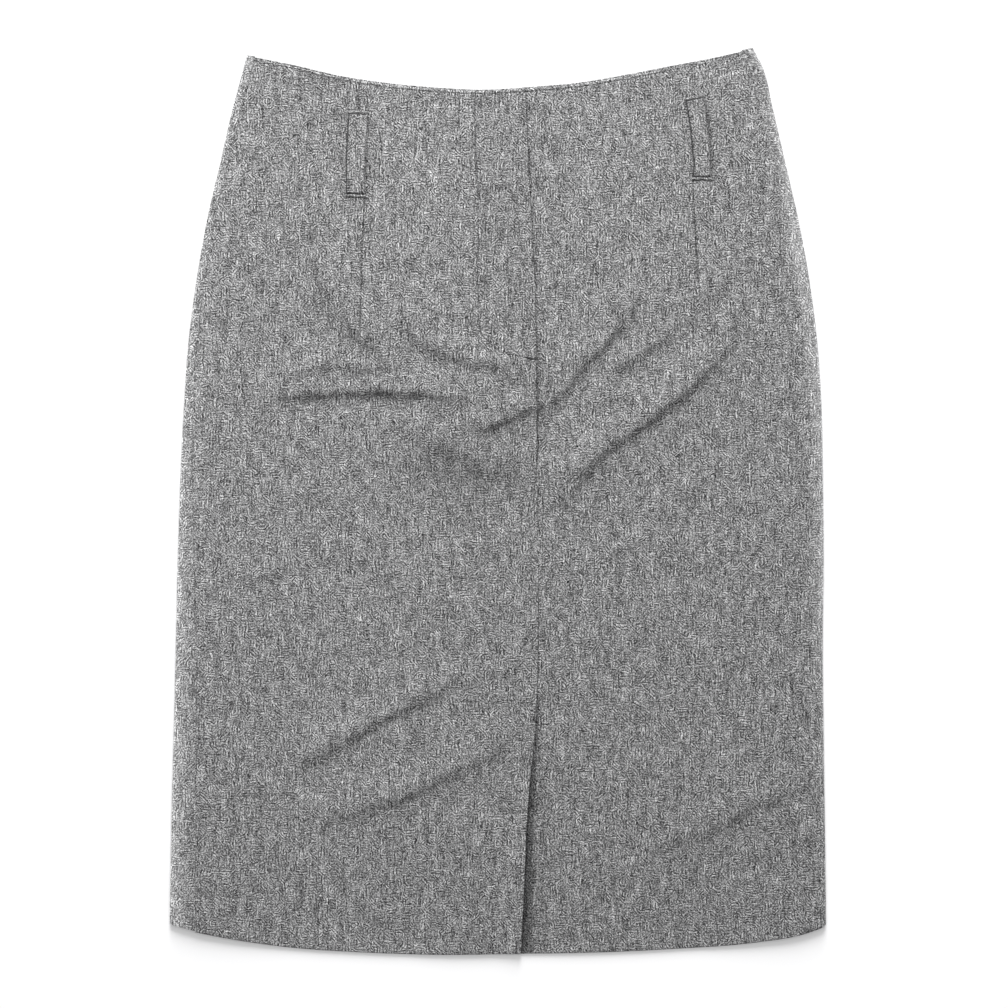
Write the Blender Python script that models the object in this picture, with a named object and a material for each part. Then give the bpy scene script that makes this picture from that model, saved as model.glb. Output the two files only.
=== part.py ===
"""A-line skirt laid flat on its back, waist away from the hem along +Y.

Units are metres. X runs to the right as the skirt is seen from above, Y runs from hem to
waist and Z is up from the surface that the back panel lies on. Left and right are as seen.
Six solids: two front panels that lap at the fly and at the vent, a back panel that wraps
both sides, two belt loops and the fly zip.
"""

from collections import namedtuple

import bmesh
import bpy
import numpy as np

# ---- walls and clearances -------------------------------------------------------------
CLOTH = 0.0012  # one layer of cloth
TURNED = 0.0027  # two layers, where an edge is turned in
GAP = 0.0003  # clearance between solids
FACET_SLACK = 0.0002  # more clearance where two faceted surfaces follow one curve
SEAM = 0.0004  # opening between panels that meet edge to edge

# ---- how high the laid skirt stands ---------------------------------------------------
EDGE_TOP = 2 * TURNED + GAP  # along the sides, the hem and the waist
MIDDLE_TOP = 0.0038  # where the front has sunk on the back
SIDE_FLAT = 0.007  # beside a side fold, before the slope starts
SIDE_FALL = 0.030  # where the slope from a side fold ends
HEM_TURN = 0.038  # depth of the turned-up hem
WAIST_TURN = 0.014  # depth of the turned-in waist edge
TURN_STEP = 0.008  # length over which a turned edge ends
HEM_FALL = 0.045
WAIST_FALL = 0.035

# ---- fly, zip and vent ----------------------------------------------------------------
FLY_LENGTH = 0.185  # from the waist edge down the centre front
FLY_HEIGHT = 0.200  # a height on the fly, where its line is read
FLY_LAP = 0.006  # how far the right front runs on under the left one
VENT_TOP = -0.149  # where the centre front seam ends
VENT_LAP = 0.038
LAP_CHANGE = 0.024  # length over which a lap opens or closes
DIP_LEAD = 0.016  # the lower layer is down this far before the lap starts
DIP_FALL = 0.030
DIP_START = 0.001  # beside the front edge, where the lower layer begins to rise
DIP_WIDTH = 0.016  # and where it has risen to the panel
COVER_LEAD = 0.010  # the upper layer is up this far before it meets the lap
COVER_FALL = 0.022
TRIM_START = 0.014  # from the front edge: the waist turn is one layer up to here
TRIM_END = 0.028  # and whole from here on
TRIM_LOW = 0.100  # the heights between which this trimming begins
TRIM_HIGH = 0.200
ZIP_WALL = 0.0010
ZIP_WIDTH = 0.030
ZIP_PAST_EDGE = 0.003  # how far the zip tape runs on beyond the front edge
ZIP_START = 0.026  # below the waist edge
ZIP_LENGTH = 0.155
ZIP_ROWS = 10
ZIP_ROOM = 0.012  # the front clears the zip this far beyond its sides
ZIP_ROOM_FALL = 0.014
ZIP_ROOM_END = 0.018  # and this far below its end

# ---- belt loops -----------------------------------------------------------------------
LOOP_WALL = 0.0022
LOOP_ARCH = 0.0012
LOOP_SEAT = 0.0005  # clearance under a loop's sewn ends
LOOP_SEWN = 0.14  # share of the length that is sewn down at each end
LOOP_RISEN = 0.32  # share of the length where it stands full height
LOOP_AT = (0, LOOP_SEWN, 0.3, 0.5, 0.7, 1 - LOOP_SEWN, 1)  # its rows, as shares of the length

# ---- outline: a row for each height of the laid skirt -----------------------------------
# left and right are the side folds, front_edge is the centre front line, and the two
# insets say how far inside the folds the side seams lie.
Section = namedtuple("Section", "up left right front_edge left_inset right_inset")
SECTIONS = (
    Section(-0.3155, -0.2285, 0.2285, 0.0162, 0.0180, 0.0046),
    Section(-0.2790, -0.2283, 0.2280, 0.0180, 0.0178, 0.0046),
    Section(-0.2100, -0.2268, 0.2268, 0.0214, 0.0168, 0.0046),
    Section(-0.1490, -0.2250, 0.2264, 0.0268, 0.0158, 0.0046),
    Section(-0.0970, -0.2239, 0.2262, 0.0285, 0.0145, 0.0046),
    Section(-0.0410, -0.2224, 0.2263, 0.0289, 0.0115, 0.0046),
    Section(0.0146, -0.2209, 0.2257, 0.0285, 0.0086, 0.0046),
    Section(0.0700, -0.2182, 0.2243, 0.0278, 0.0066, 0.0046),
    Section(0.1120, -0.2147, 0.2216, 0.0271, 0.0062, 0.0046),
    Section(0.1540, -0.2091, 0.2161, 0.0259, 0.0060, 0.0048),
    Section(0.1950, -0.2022, 0.2085, 0.0237, 0.0056, 0.0056),
    Section(0.2370, -0.1924, 0.1987, 0.0215, 0.0060, 0.0072),
    Section(0.2750, -0.1834, 0.1903, 0.0198, 0.0064, 0.0094),
    Section(0.3020, -0.1762, 0.1840, 0.0189, 0.0062, 0.0102),
    Section(0.3155, -0.1728, 0.1772, 0.0184, 0.0060, 0.0090),
)

# ---- waist and hem edges, across the skirt --------------------------------------------
# peek is how far the back's waist edge shows above the front's.
WaistPoint = namedtuple("WaistPoint", "across up peek")
WAIST = (
    WaistPoint(-0.1750, 0.3100, 0.0022),
    WaistPoint(-0.1430, 0.3034, 0.0022),
    WaistPoint(-0.1100, 0.2956, 0.0018),
    WaistPoint(-0.0760, 0.2905, 0.0012),
    WaistPoint(-0.0430, 0.2874, 0.0009),
    WaistPoint(-0.0094, 0.2862, 0.0008),
    WaistPoint(0.0240, 0.2881, 0.0009),
    WaistPoint(0.0574, 0.2910, 0.0012),
    WaistPoint(0.0908, 0.2972, 0.0016),
    WaistPoint(0.1242, 0.3036, 0.0026),
    WaistPoint(0.1576, 0.3094, 0.0032),
    WaistPoint(0.1800, 0.3164, 0.0032),
)
HemPoint = namedtuple("HemPoint", "across up")
HEM = (
    HemPoint(-0.2285, -0.2945),
    HemPoint(-0.2100, -0.3000),
    HemPoint(-0.1800, -0.3055),
    HemPoint(-0.1420, -0.3104),
    HemPoint(-0.0980, -0.3139),
    HemPoint(-0.0400, -0.3155),
    HemPoint(0.0073, -0.3155),
    HemPoint(0.0600, -0.3139),
    HemPoint(0.1200, -0.3105),
    HemPoint(0.1770, -0.3055),
    HemPoint(0.2150, -0.3000),
    HemPoint(0.2285, -0.2955),
)
BACK_SHORTER = 0.0008  # the back's hem stays hidden above the front's

# ---- largest folds of the front: soft ridges, negative where the cloth sinks ----------
# Each runs through three points. wide_below is its reach on the hem side of that line.
Fold = namedtuple("Fold", "x0 y0 x1 y1 x2 y2 height wide_above wide_below")
FOLDS = (
    Fold(-0.165, 0.079, -0.085, 0.079, -0.004, 0.069, 0.0019, 0.016, 0.009),
    Fold(-0.144, 0.185, -0.106, 0.126, -0.072, 0.093, 0.0008, 0.016, 0.014),
    Fold(-0.007, 0.050, 0.050, 0.086, 0.099, 0.143, 0.0013, 0.014, 0.012),
    Fold(0.040, -0.006, 0.110, 0.062, 0.176, 0.124, 0.0022, 0.018, 0.012),
    Fold(-0.070, 0.040, -0.026, 0.030, 0.012, -0.012, -0.0008, 0.016, 0.016),
    Fold(-0.140, -0.186, -0.054, -0.137, 0.060, -0.094, 0.0014, 0.016, 0.012),
    Fold(-0.134, -0.228, -0.033, -0.190, 0.022, -0.146, 0.0015, 0.016, 0.012),
    Fold(0.096, -0.256, 0.162, -0.221, 0.214, -0.197, 0.0010, 0.018, 0.016),
    Fold(-0.180, -0.060, -0.150, -0.050, -0.120, -0.046, 0.0006, 0.018, 0.014),
)
FOLD_STEPS = 16
FOLD_TAPER = 0.35  # share of a fold's length over which it grows from nothing

# ---- belt loops: middle of each end, and the width across ------------------------------
Loop = namedtuple("Loop", "name low_x low_y high_x high_y width")
LOOPS = (
    Loop("belt_loop_left", -0.0988, 0.2125, -0.0967, 0.2702, 0.0136),
    Loop("belt_loop_right", 0.1423, 0.2243, 0.1367, 0.2802, 0.0136),
)

# ---- mesh density ---------------------------------------------------------------------
BODY_ROWS = 36  # between the turned edges
PANEL_COLUMNS = 14  # between a side seam and the strip beside the front edge
BACK_COLUMNS = 14
FOLD_FACETS = 5  # on a side fold's half round
LEFT_STRIP = 0.062  # width of the closely divided strip beside the left front's edge
LEFT_STRIP_AT = (1.0, 0.8, 0.6, 0.36, 0.16, 0.0)  # its columns, as shares of that width
RIGHT_STRIP = 0.020  # beside the front edge, on the right front
RIGHT_STRIP_AT = (0, 0.35, 0.66, 0.85)  # its columns, from the lap's edge on
ROUNDS = 12  # of substitution, for a point whose place depends on its height

GREY = (0.245, 0.245, 0.248, 1.0)
LOOP_GREY = (0.255, 0.255, 0.258, 1.0)
TAPE_GREY = (0.050, 0.050, 0.052, 1.0)


def column(table, name):
    return np.array([getattr(row, name) for row in table])


def smooth_curve(at, table, key, name):
    """A cubic curve through a table's points: each slope is the one between its neighbours."""
    x, y = column(table, key), column(table, name)
    slope = np.gradient(y, x)
    at = np.clip(at, x[0], x[-1])
    i = np.clip(np.searchsorted(x, at) - 1, 0, len(x) - 2)
    span = x[i + 1] - x[i]
    t = (at - x[i]) / span
    start = (1 + 2 * t) * (1 - t) ** 2 * y[i] + t * (1 - t) ** 2 * span * slope[i]
    end = t * t * (3 - 2 * t) * y[i + 1] + t * t * (t - 1) * span * slope[i + 1]
    return start + end


def ease(value, start, end):
    """0 before start and 1 after end, with a smooth rise between; start may be the larger."""
    t = np.clip((value - start) / (end - start), 0, 1)
    return t * t * (3 - 2 * t)


def mix(a, b, share):
    return a + (b - a) * share


def section(up, name):
    return smooth_curve(up, SECTIONS, "up", name)


def hem_line(x):
    return smooth_curve(x, HEM, "across", "up")


def waist_line(x):
    return smooth_curve(x, WAIST, "across", "up")


def front_waist_line(x):
    return waist_line(x) - smooth_curve(x, WAIST, "across", "peek")


def fold_height(x, y, fold):
    """A soft ridge along a curve through three points, smaller towards its two ends."""
    t = np.linspace(0, 1, FOLD_STEPS + 1)
    px = mix(mix(fold.x0, fold.x1, 2 * t), mix(fold.x1, fold.x2, 2 * t - 1), (t > 0.5))
    py = mix(mix(fold.y0, fold.y1, 2 * t), mix(fold.y1, fold.y2, 2 * t - 1), (t > 0.5))
    ax, ay, bx, by = px[:-1], py[:-1], px[1:], py[1:]
    dx, dy = bx - ax, by - ay
    rx, ry = x[..., None] - ax, y[..., None] - ay
    along = np.clip((rx * dx + ry * dy) / (dx * dx + dy * dy), 0, 1)
    away = np.hypot(rx - along * dx, ry - along * dy)
    near = away.argmin(axis=-1)[..., None]
    away = np.take_along_axis(away, near, -1)[..., 0]
    side = np.take_along_axis(dx * ry - dy * rx, near, -1)[..., 0]
    place = (np.take_along_axis(along, near, -1)[..., 0] + near[..., 0]) / FOLD_STEPS
    wide = np.where(side > 0, fold.wide_above, fold.wide_below)
    taper = ease(place, 0, FOLD_TAPER) * ease(place, 1, 1 - FOLD_TAPER)
    return fold.height * taper * np.exp(-((away / wide) ** 2))


def turned_share(x, y):
    """1 where the hem or the waist edge is turned in, 0 on the single cloth."""
    hem = ease(y - hem_line(x), HEM_TURN + TURN_STEP, HEM_TURN)
    waist = ease(front_waist_line(x) - y, WAIST_TURN + TURN_STEP, WAIST_TURN)
    return np.maximum(hem, waist)


def wall(x, y):
    return mix(CLOTH, TURNED, turned_share(x, y))


def zip_share(x, y):
    """1 over the zip and a little around it, 0 away from it."""
    edge = section(y, "front_edge")
    middle = edge + ZIP_PAST_EDGE - ZIP_WIDTH / 2
    beside = ZIP_WIDTH / 2 + ZIP_ROOM
    below = ZIP_START + ZIP_LENGTH + ZIP_ROOM_END
    across = ease(abs(x - middle), beside + ZIP_ROOM_FALL, beside)
    return across * ease(front_waist_line(x) - y, below + ZIP_ROOM_FALL, below)


def panel_top(x, y):
    """Height of the front's upper side: high at its four edges, lower in the middle, folded."""
    from_left = x - section(y, "left")
    from_right = section(y, "right") - x
    side = ease(np.minimum(from_left, from_right), SIDE_FALL, SIDE_FLAT)
    hem = ease(y - hem_line(x), HEM_TURN + HEM_FALL, HEM_TURN + TURN_STEP)
    waist = ease(front_waist_line(x) - y, WAIST_TURN + WAIST_FALL, WAIST_TURN + TURN_STEP)
    edge = np.maximum(np.maximum(side, hem), waist)
    relief = sum(fold_height(x, y, fold) for fold in FOLDS)
    top = mix(MIDDLE_TOP, EDGE_TOP, edge) + relief * (1 - edge)
    over_zip = CLOTH + ZIP_WALL + CLOTH + 2 * GAP + 2 * FACET_SLACK
    return top + zip_share(x, y) * np.maximum(over_zip - top, 0)


def back_inside(x, y):
    """Height of the back panel's upper side."""
    return mix(CLOTH, TURNED, turned_share(x, y))


def lap_width(y):
    """How far the right front runs under the left one; negative where they meet edge to edge."""
    fly_end = fly_bottom()
    fly = ease(y, fly_end - LAP_CHANGE, fly_end)
    vent = ease(y, VENT_TOP + LAP_CHANGE / 2, VENT_TOP - LAP_CHANGE / 2)
    return -SEAM + (FLY_LAP + SEAM) * fly + (VENT_LAP + SEAM) * vent


def fly_bottom():
    edge = section(np.array(FLY_HEIGHT), "front_edge")
    return float(front_waist_line(edge)) - FLY_LENGTH


def dip_share(y):
    """1 beside each lap, where the lower layer lies close to the back."""
    closed = fly_bottom() - LAP_CHANGE - DIP_LEAD
    opened = VENT_TOP + LAP_CHANGE / 2 + DIP_LEAD
    return np.maximum(ease(y, closed - DIP_FALL, closed), ease(y, opened + DIP_FALL, opened))


def right_top(x, y):
    """Upper side of the right front: it dips to the back where the left front lies on it."""
    edge = section(y, "front_edge")
    low = back_inside(x, y) + GAP + FACET_SLACK + CLOTH
    low = low + zip_share(x, y) * (ZIP_WALL + GAP) * (1 - turned_share(x, y))
    dip = ease(x - edge, DIP_WIDTH, DIP_START) * dip_share(y)
    top = panel_top(x, y)
    return mix(top, np.minimum(low, top), dip)


def right_wall(x, y):
    """Wall of the right front: one layer under the lap, where the turned edges are trimmed."""
    edge = section(y, "front_edge")
    lap = ease(x - edge, DIP_WIDTH, DIP_START) * dip_share(y)
    return mix(wall(x, y), CLOTH, lap)


def left_low(x, y):
    """Lower side of the left front: it climbs over the right front's lap."""
    edge = section(y, "front_edge")
    reach = np.maximum(lap_width(y), 0)
    cover = ease(edge - x, reach + COVER_LEAD + COVER_FALL, reach + COVER_LEAD)
    own = panel_top(x, y) - left_wall(x, y)
    over = right_top(np.minimum(x, edge), y) + GAP + FACET_SLACK
    return np.maximum(own, mix(own, over, cover * dip_share(y)))


def left_wall(x, y):
    """Wall of the left front: one layer beside the fly, where the waist turn is trimmed."""
    edge = section(y, "front_edge")
    beside = ease(edge - x, TRIM_END, TRIM_START)
    return mix(wall(x, y), CLOTH, beside * ease(y, TRIM_LOW, TRIM_HIGH))


def left_top(x, y):
    return left_low(x, y) + left_wall(x, y)


def levels():
    """The rows from hem to waist as shares of the length, closer together at the turned edges."""
    length = -HEM[0].up + WAIST[0].up
    hem = [0, 0.5 * HEM_TURN, HEM_TURN, HEM_TURN + TURN_STEP]
    waist = [WAIST_TURN + TURN_STEP, WAIST_TURN, 0.5 * WAIST_TURN, 0]
    low = [d / length for d in hem]
    high = [1 - d / length for d in waist]
    return np.array(low[:-1] + list(np.linspace(low[-1], high[0], BODY_ROWS)) + high[1:])


def heights(x, share, top_line, shorter=0.0):
    """Y of a point at x in the row that lies at a share of the way from hem to waist."""
    return mix(hem_line(x) + shorter, top_line(x), share)


def settle(share, place, top_line, shorter=0.0):
    """X and Y of one line of a row, where x depends on y: a few rounds of substitution."""
    y = mix(HEM[0].up, WAIST[0].up, share)
    for _ in range(ROUNDS):
        x = place(y)
        y = heights(x, share, top_line, shorter)
    return x, y


def shell(name, low, high, material):
    """One closed body from two grids of points, (rows, columns, 3), low and high side."""
    rows, columns = low.shape[:2]
    index = np.arange(rows * columns).reshape(rows, columns)
    a, b = index[:-1, :-1].ravel(), index[:-1, 1:].ravel()
    c, d = index[1:, 1:].ravel(), index[1:, :-1].ravel()
    count = rows * columns
    upper = np.stack([a, b, c, d], 1) + count
    under = np.stack([a, d, c, b], 1)
    rim = np.concatenate([index[0, :-1], index[:-1, -1], index[-1, :0:-1], index[:0:-1, 0]])
    after = np.roll(rim, -1)
    sides = np.stack([rim, after, after + count, rim + count], 1)
    points = np.concatenate([low.reshape(-1, 3), high.reshape(-1, 3)])
    return solid(name, points, np.concatenate([upper, under, sides]), material)


def solid(name, points, faces, material):
    mesh = bpy.data.meshes.new(name)
    mesh.from_pydata(points.tolist(), [], faces.tolist())
    work = bmesh.new()
    work.from_mesh(mesh)
    bmesh.ops.triangulate(work, faces=work.faces[:])
    bmesh.ops.recalc_face_normals(work, faces=work.faces[:])
    work.to_mesh(mesh)
    work.free()
    mesh.shade_smooth()
    mesh.set_sharp_from_angle(angle=0.7)
    mesh.materials.append(material)
    body = bpy.data.objects.new(name, mesh)
    bpy.context.collection.objects.link(body)
    return body


def grid(x, y, z):
    return np.stack(np.broadcast_arrays(x, y, z), axis=-1)


def left_front(material):
    """From the left side seam to the front edge, on top at the fly and at the vent."""
    share = levels()
    edge, _ = settle(share, lambda y: section(y, "front_edge"), front_waist_line)
    seam, _ = settle(
        share, lambda y: section(y, "left") + section(y, "left_inset") + SEAM, front_waist_line
    )
    wide = np.linspace(0, 1, PANEL_COLUMNS + 1)[:-1]
    body = mix(seam[:, None], (edge - LEFT_STRIP)[:, None], wide)
    strip = edge[:, None] - LEFT_STRIP * np.array(LEFT_STRIP_AT)
    x = np.concatenate([body, strip], axis=1)
    y = heights(x, share[:, None], front_waist_line)
    return shell(
        "front_left", grid(x, y, left_low(x, y)), grid(x, y, left_top(x, y)), material
    )


def right_front(material):
    """From its lap under the left front to the right side seam."""
    share = levels()
    lap, _ = settle(
        share, lambda y: section(y, "front_edge") - lap_width(y), front_waist_line
    )
    start, _ = settle(share, lambda y: section(y, "front_edge") + RIGHT_STRIP, front_waist_line)
    seam, _ = settle(
        share, lambda y: section(y, "right") - section(y, "right_inset") - SEAM, front_waist_line
    )
    strip = mix(lap[:, None], start[:, None], np.array(RIGHT_STRIP_AT))
    body = mix(start[:, None], seam[:, None], np.linspace(0, 1, PANEL_COLUMNS + 2))
    x = np.concatenate([strip, body], axis=1)
    y = heights(x, share[:, None], front_waist_line)
    top = right_top(x, y)
    return shell("front_right", grid(x, y, top - right_wall(x, y)), grid(x, y, top), material)


def back_panel(material):
    """Flat below, round both side folds and on to the side seams on the front."""
    share = levels()
    radius = EDGE_TOP / 2
    left, _ = settle(share, lambda y: section(y, "left"), waist_line, BACK_SHORTER)
    right, _ = settle(share, lambda y: section(y, "right"), waist_line, BACK_SHORTER)
    left_seam, _ = settle(
        share, lambda y: section(y, "left") + section(y, "left_inset"), waist_line, BACK_SHORTER
    )
    right_seam, _ = settle(
        share, lambda y: section(y, "right") - section(y, "right_inset"), waist_line, BACK_SHORTER
    )
    turn = np.linspace(0, np.pi, FOLD_FACETS + 1)
    flat = np.linspace(0, 1, BACK_COLUMNS + 1)

    def side(depth):
        """X and Z of each row's points, at a depth in from the cloth's outer side."""
        r = radius - depth
        left_x = (left + radius)[:, None] - r * np.sin(turn)
        right_x = (right - radius)[:, None] + r * np.sin(turn)[::-1]
        bottom = mix((left + radius)[:, None], (right - radius)[:, None], flat[1:-1])
        x = np.concatenate(
            [left_seam[:, None], left_x, bottom, right_x, right_seam[:, None]], axis=1
        )
        round_z = radius + r * np.cos(turn)
        low_z = np.full(BACK_COLUMNS - 1, depth)
        strip_z = [2 * radius - depth]
        z = np.concatenate([strip_z, round_z, low_z, round_z[::-1], strip_z])
        return x, np.broadcast_to(z, x.shape)

    outer_x, outer_z = side(0.0)
    inner_x, inner_z = side(CLOTH)
    outer_y = heights(outer_x, share[:, None], waist_line, BACK_SHORTER)
    thick = np.zeros(outer_x.shape)
    first = FOLD_FACETS + 2
    inside = slice(first, first + BACK_COLUMNS - 1)
    thick[:, inside] = back_inside(outer_x, outer_y)[:, inside] - CLOTH
    outer = grid(outer_x, outer_y, outer_z)
    inner = grid(inner_x, outer_y, inner_z + thick)
    return shell("back", outer, inner, material)


def belt_loop(loop, top, material):
    """A strap on the front: sewn down at both ends and a little proud between them."""
    along = np.array(LOOP_AT)
    across = np.array([-0.5, 0.0, 0.5]) * loop.width
    run = np.array([loop.high_x - loop.low_x, loop.high_y - loop.low_y])
    run = run / np.hypot(*run)
    middle_x = mix(loop.low_x, loop.high_x, along)[:, None]
    middle_y = mix(loop.low_y, loop.high_y, along)[:, None]
    x = middle_x + across * run[1]
    y = middle_y - across * run[0]
    rise = ease(along, LOOP_SEWN, LOOP_RISEN) * ease(along, 1 - LOOP_SEWN, 1 - LOOP_RISEN)
    z = top(x, y) + LOOP_SEAT + LOOP_ARCH * rise[:, None]
    return shell(loop.name, grid(x, y, z), grid(x, y, z + LOOP_WALL), material)


def fly_zip(material):
    """The closed zip's two tapes as one strip, under both fronts and on the back."""
    edge = section(np.array(FLY_HEIGHT), "front_edge")
    top = float(front_waist_line(edge)) - ZIP_START
    y = np.linspace(top - ZIP_LENGTH, top, ZIP_ROWS + 1)[:, None]
    x = section(y, "front_edge") + ZIP_PAST_EDGE - ZIP_WIDTH * np.array([1.0, 0.5, 0.0])
    low = CLOTH + GAP
    return shell("zip", grid(x, y, low), grid(x, y, low + ZIP_WALL), material)


def plain(name, colour, roughness, metallic=0.0):
    material = bpy.data.materials.new(name)
    material.use_nodes = True
    shader = material.node_tree.nodes["Principled BSDF"]
    shader.inputs["Base Color"].default_value = colour
    shader.inputs["Roughness"].default_value = roughness
    shader.inputs["Metallic"].default_value = metallic
    material.diffuse_color = colour
    return material


def main():
    for leftover in list(bpy.data.objects):
        bpy.data.objects.remove(leftover)
    skirt = bpy.data.objects.new("skirt", None)
    bpy.context.collection.objects.link(skirt)
    left_cloth = plain("left_front_wool", GREY, 0.92)
    right_cloth = plain("right_front_wool", GREY, 0.92)
    back_cloth = plain("back_wool", GREY, 0.92)
    strap_cloth = plain("belt_loop_wool", LOOP_GREY, 0.92)
    tape = plain("zip_tape", TAPE_GREY, 0.8)
    pieces = [
        left_front(left_cloth),
        right_front(right_cloth),
        back_panel(back_cloth),
        belt_loop(LOOPS[0], left_top, strap_cloth),
        belt_loop(LOOPS[1], right_top, strap_cloth),
        fly_zip(tape),
    ]
    for piece in pieces:
        piece.parent = skirt


main()
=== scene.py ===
"""Wool skirt laid flat on its back: cloth, seams, stitches, and the light it is seen in.

Units are metres unless a name or a table says millimetres. X runs to the right as the skirt is
seen from above, Y runs from hem to waist and Z is up. Left and right are as seen.
"""

import math
from collections import namedtuple

import bpy
import numpy as np
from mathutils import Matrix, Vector


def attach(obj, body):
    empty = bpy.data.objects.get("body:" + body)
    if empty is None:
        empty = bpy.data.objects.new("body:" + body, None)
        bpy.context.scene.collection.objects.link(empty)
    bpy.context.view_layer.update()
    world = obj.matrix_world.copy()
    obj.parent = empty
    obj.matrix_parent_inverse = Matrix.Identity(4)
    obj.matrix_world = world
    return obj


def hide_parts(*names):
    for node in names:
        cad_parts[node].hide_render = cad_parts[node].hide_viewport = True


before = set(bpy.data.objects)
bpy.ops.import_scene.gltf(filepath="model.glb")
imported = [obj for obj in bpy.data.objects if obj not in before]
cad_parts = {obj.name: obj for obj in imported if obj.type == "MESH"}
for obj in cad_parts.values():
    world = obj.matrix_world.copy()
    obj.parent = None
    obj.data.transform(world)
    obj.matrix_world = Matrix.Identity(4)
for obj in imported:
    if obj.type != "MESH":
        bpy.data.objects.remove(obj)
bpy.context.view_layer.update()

bl_info = {
    "name": "Wool skirt",
    "version": (1, 0, 0),
    "blender": (4, 5, 0),
    "location": "3D View > Sidebar > Skirt",
    "description": "Builds a wool skirt laid flat, piece by piece, with its light and camera",
    "category": "Object",
}

MILLIMETRE = 0.001

# ---- cloth and clearances ---------------------------------------------------------------
CLOTH = 0.0007  # wall of the single cloth
TURNED = 0.0011  # wall where the hem or the waist edge is turned in
GAP = 0.00015  # between two layers that lie on each other
SLACK = 0.0001  # more room for the upper one
SEAM = 0.00002  # between two panels that meet at a seam
SEAM_ROUND = 0.22  # how round the pressed seam edges are

# ---- how high the laid skirt stands -----------------------------------------------------
# A flat and a fall are distances from an edge: the edge's own height holds over the flat, and
# the middle's height starts at the fall.
MIDDLE_TOP = 0.0036
EDGE_TOP = 2 * TURNED + 2 * GAP  # at the waist and at the hem
SIDE_TOP = 0.0057  # over the round side folds
SIDE_FLAT = 0.010
SIDE_FALL = 0.100
HEM_FLAT = 0.006
HEM_FALL = 0.075
WAIST_FLAT = 0.004
WAIST_FALL = 0.090
SIDE_ROUND_LEFT = 0.013  # width over which the cloth comes down to a side fold
SIDE_ROUND_RIGHT = 0.007
ROUND_POWER = 2.2  # of that round: 2 is an ellipse, and more is squarer
HEM_TURN = 0.038
WAIST_TURN = 0.014
TURN_STEP = 0.020  # length over which a turned edge thins to the single cloth
RIPPLE = 0.00012  # unevenness of the smooth cloth
RUCK = 0.00028  # unevenness of the back where it lies on the floor
RUCK_SIDE = (0.012, 0.05)  # from a side fold: none at the first, all at the second
RUCK_HEM = (0.05, 0.10)  # the same from the hem

# ---- fly and vent -----------------------------------------------------------------------
FLY_LENGTH = 0.185
FLY_HEIGHT = 0.200  # Y at which the front edge is read for the fly's top
FLY_LAP = 0.006  # how far the right front runs under the left one
FLY_PART = (-0.05, 0.02)  # Y over which the vent's sizes give way to the fly's
VENT_TOP = -0.149
VENT_HEM = -0.3155
VENT_LAP = 0.038
LAP_CHANGE = 0.024  # length over which a lap begins, at the fly and at the vent
VENT_CHANGE = 0.010
# the lower layer dips to the back beside each lap: how far past the lap's beginning the whole
# dip lasts, the length over which it ends there, and how far it reaches from the front edge
DIP_LEAD = 0.016
DIP_FALL = 0.050
VENT_DIP_LEAD = 0.003
VENT_DIP_FALL = 0.010
DIP_START = 0.003
DIP_WIDTH = 0.045
VENT_DIP_WIDTH = 0.018  # at the vent's top
VENT_DIP_GROWTH = 0.060  # length below it over which the dip widens
FLY_DIP_PART = (-0.06, 0.0)  # Y over which it widens to the fly's
DIP_CREASES = 0.7  # share of the creases that the lower layer keeps
SHALLOW = (0.080, 0.005)  # below the vent's top, where the dip is still shallow
# the left front lies on the lower layer from its edge to a lead past the lap, and comes free
# over the fall
COVER_LEAD = 0.010
COVER_FALL = 0.022
VENT_COVER_LEAD = 0.003
VENT_COVER_FALL = 0.045
VENT_RAISE = 0.00098  # of the left front near the hem, over the right front's lap
VENT_RAISE_END = 0.025  # above the hem, where that is reached
VENT_LIFT = 0.0015  # how far the upper vent edge stands off at the hem
VENT_LIFT_WIDTH = 0.028
VENT_LIFT_START = 0.020  # above the vent's top
# beside the front edge, and from low to high, the left front's turned waist is trimmed
TRIM_START = 0.014
TRIM_END = 0.028
TRIM_LOW = 0.100
TRIM_HIGH = 0.200

# ---- zip --------------------------------------------------------------------------------
ZIP_WALL = 0.0010  # height kept free for it
ZIP_WIDTH = 0.030
ZIP_PAST_EDGE = 0.003  # how far it reaches past the front edge
ZIP_START = 0.026  # below the waist edge
ZIP_LENGTH = 0.155
ZIP_ROOM = 0.012  # on each side of it
ZIP_ROOM_END = 0.018  # below it
ZIP_ROOM_FALL = 0.014
TAPE_ROWS = 60
TAPE_COLUMNS = 21
TAPE_WALL = 0.0005
TAPE_RIDGE = 0.0002  # along the tapes' middle
TAPE_RIDGE_WIDTH = 0.12  # as a share of half the tapes' width
TAPE_FOLD = 0.0015  # width of one stripe of its herringbone
TAPE_RIBS = 9000.0  # radians of its ribs' wave in a metre
TAPE_DARK = 0.5  # painted shade: share of the colour left between the ribs
TAPE_RELIEF = 0.0001
COIL_START = 0.004  # below the tapes' upper end
COIL_SHORTER = 0.012
COIL_PITCH = 0.0015
COIL_REACH = 0.0022
COIL_SLANT = 0.0006
COIL_RADIUS = 0.0003
COIL_LEVEL = 0.00075  # over the tapes' lower side

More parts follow.
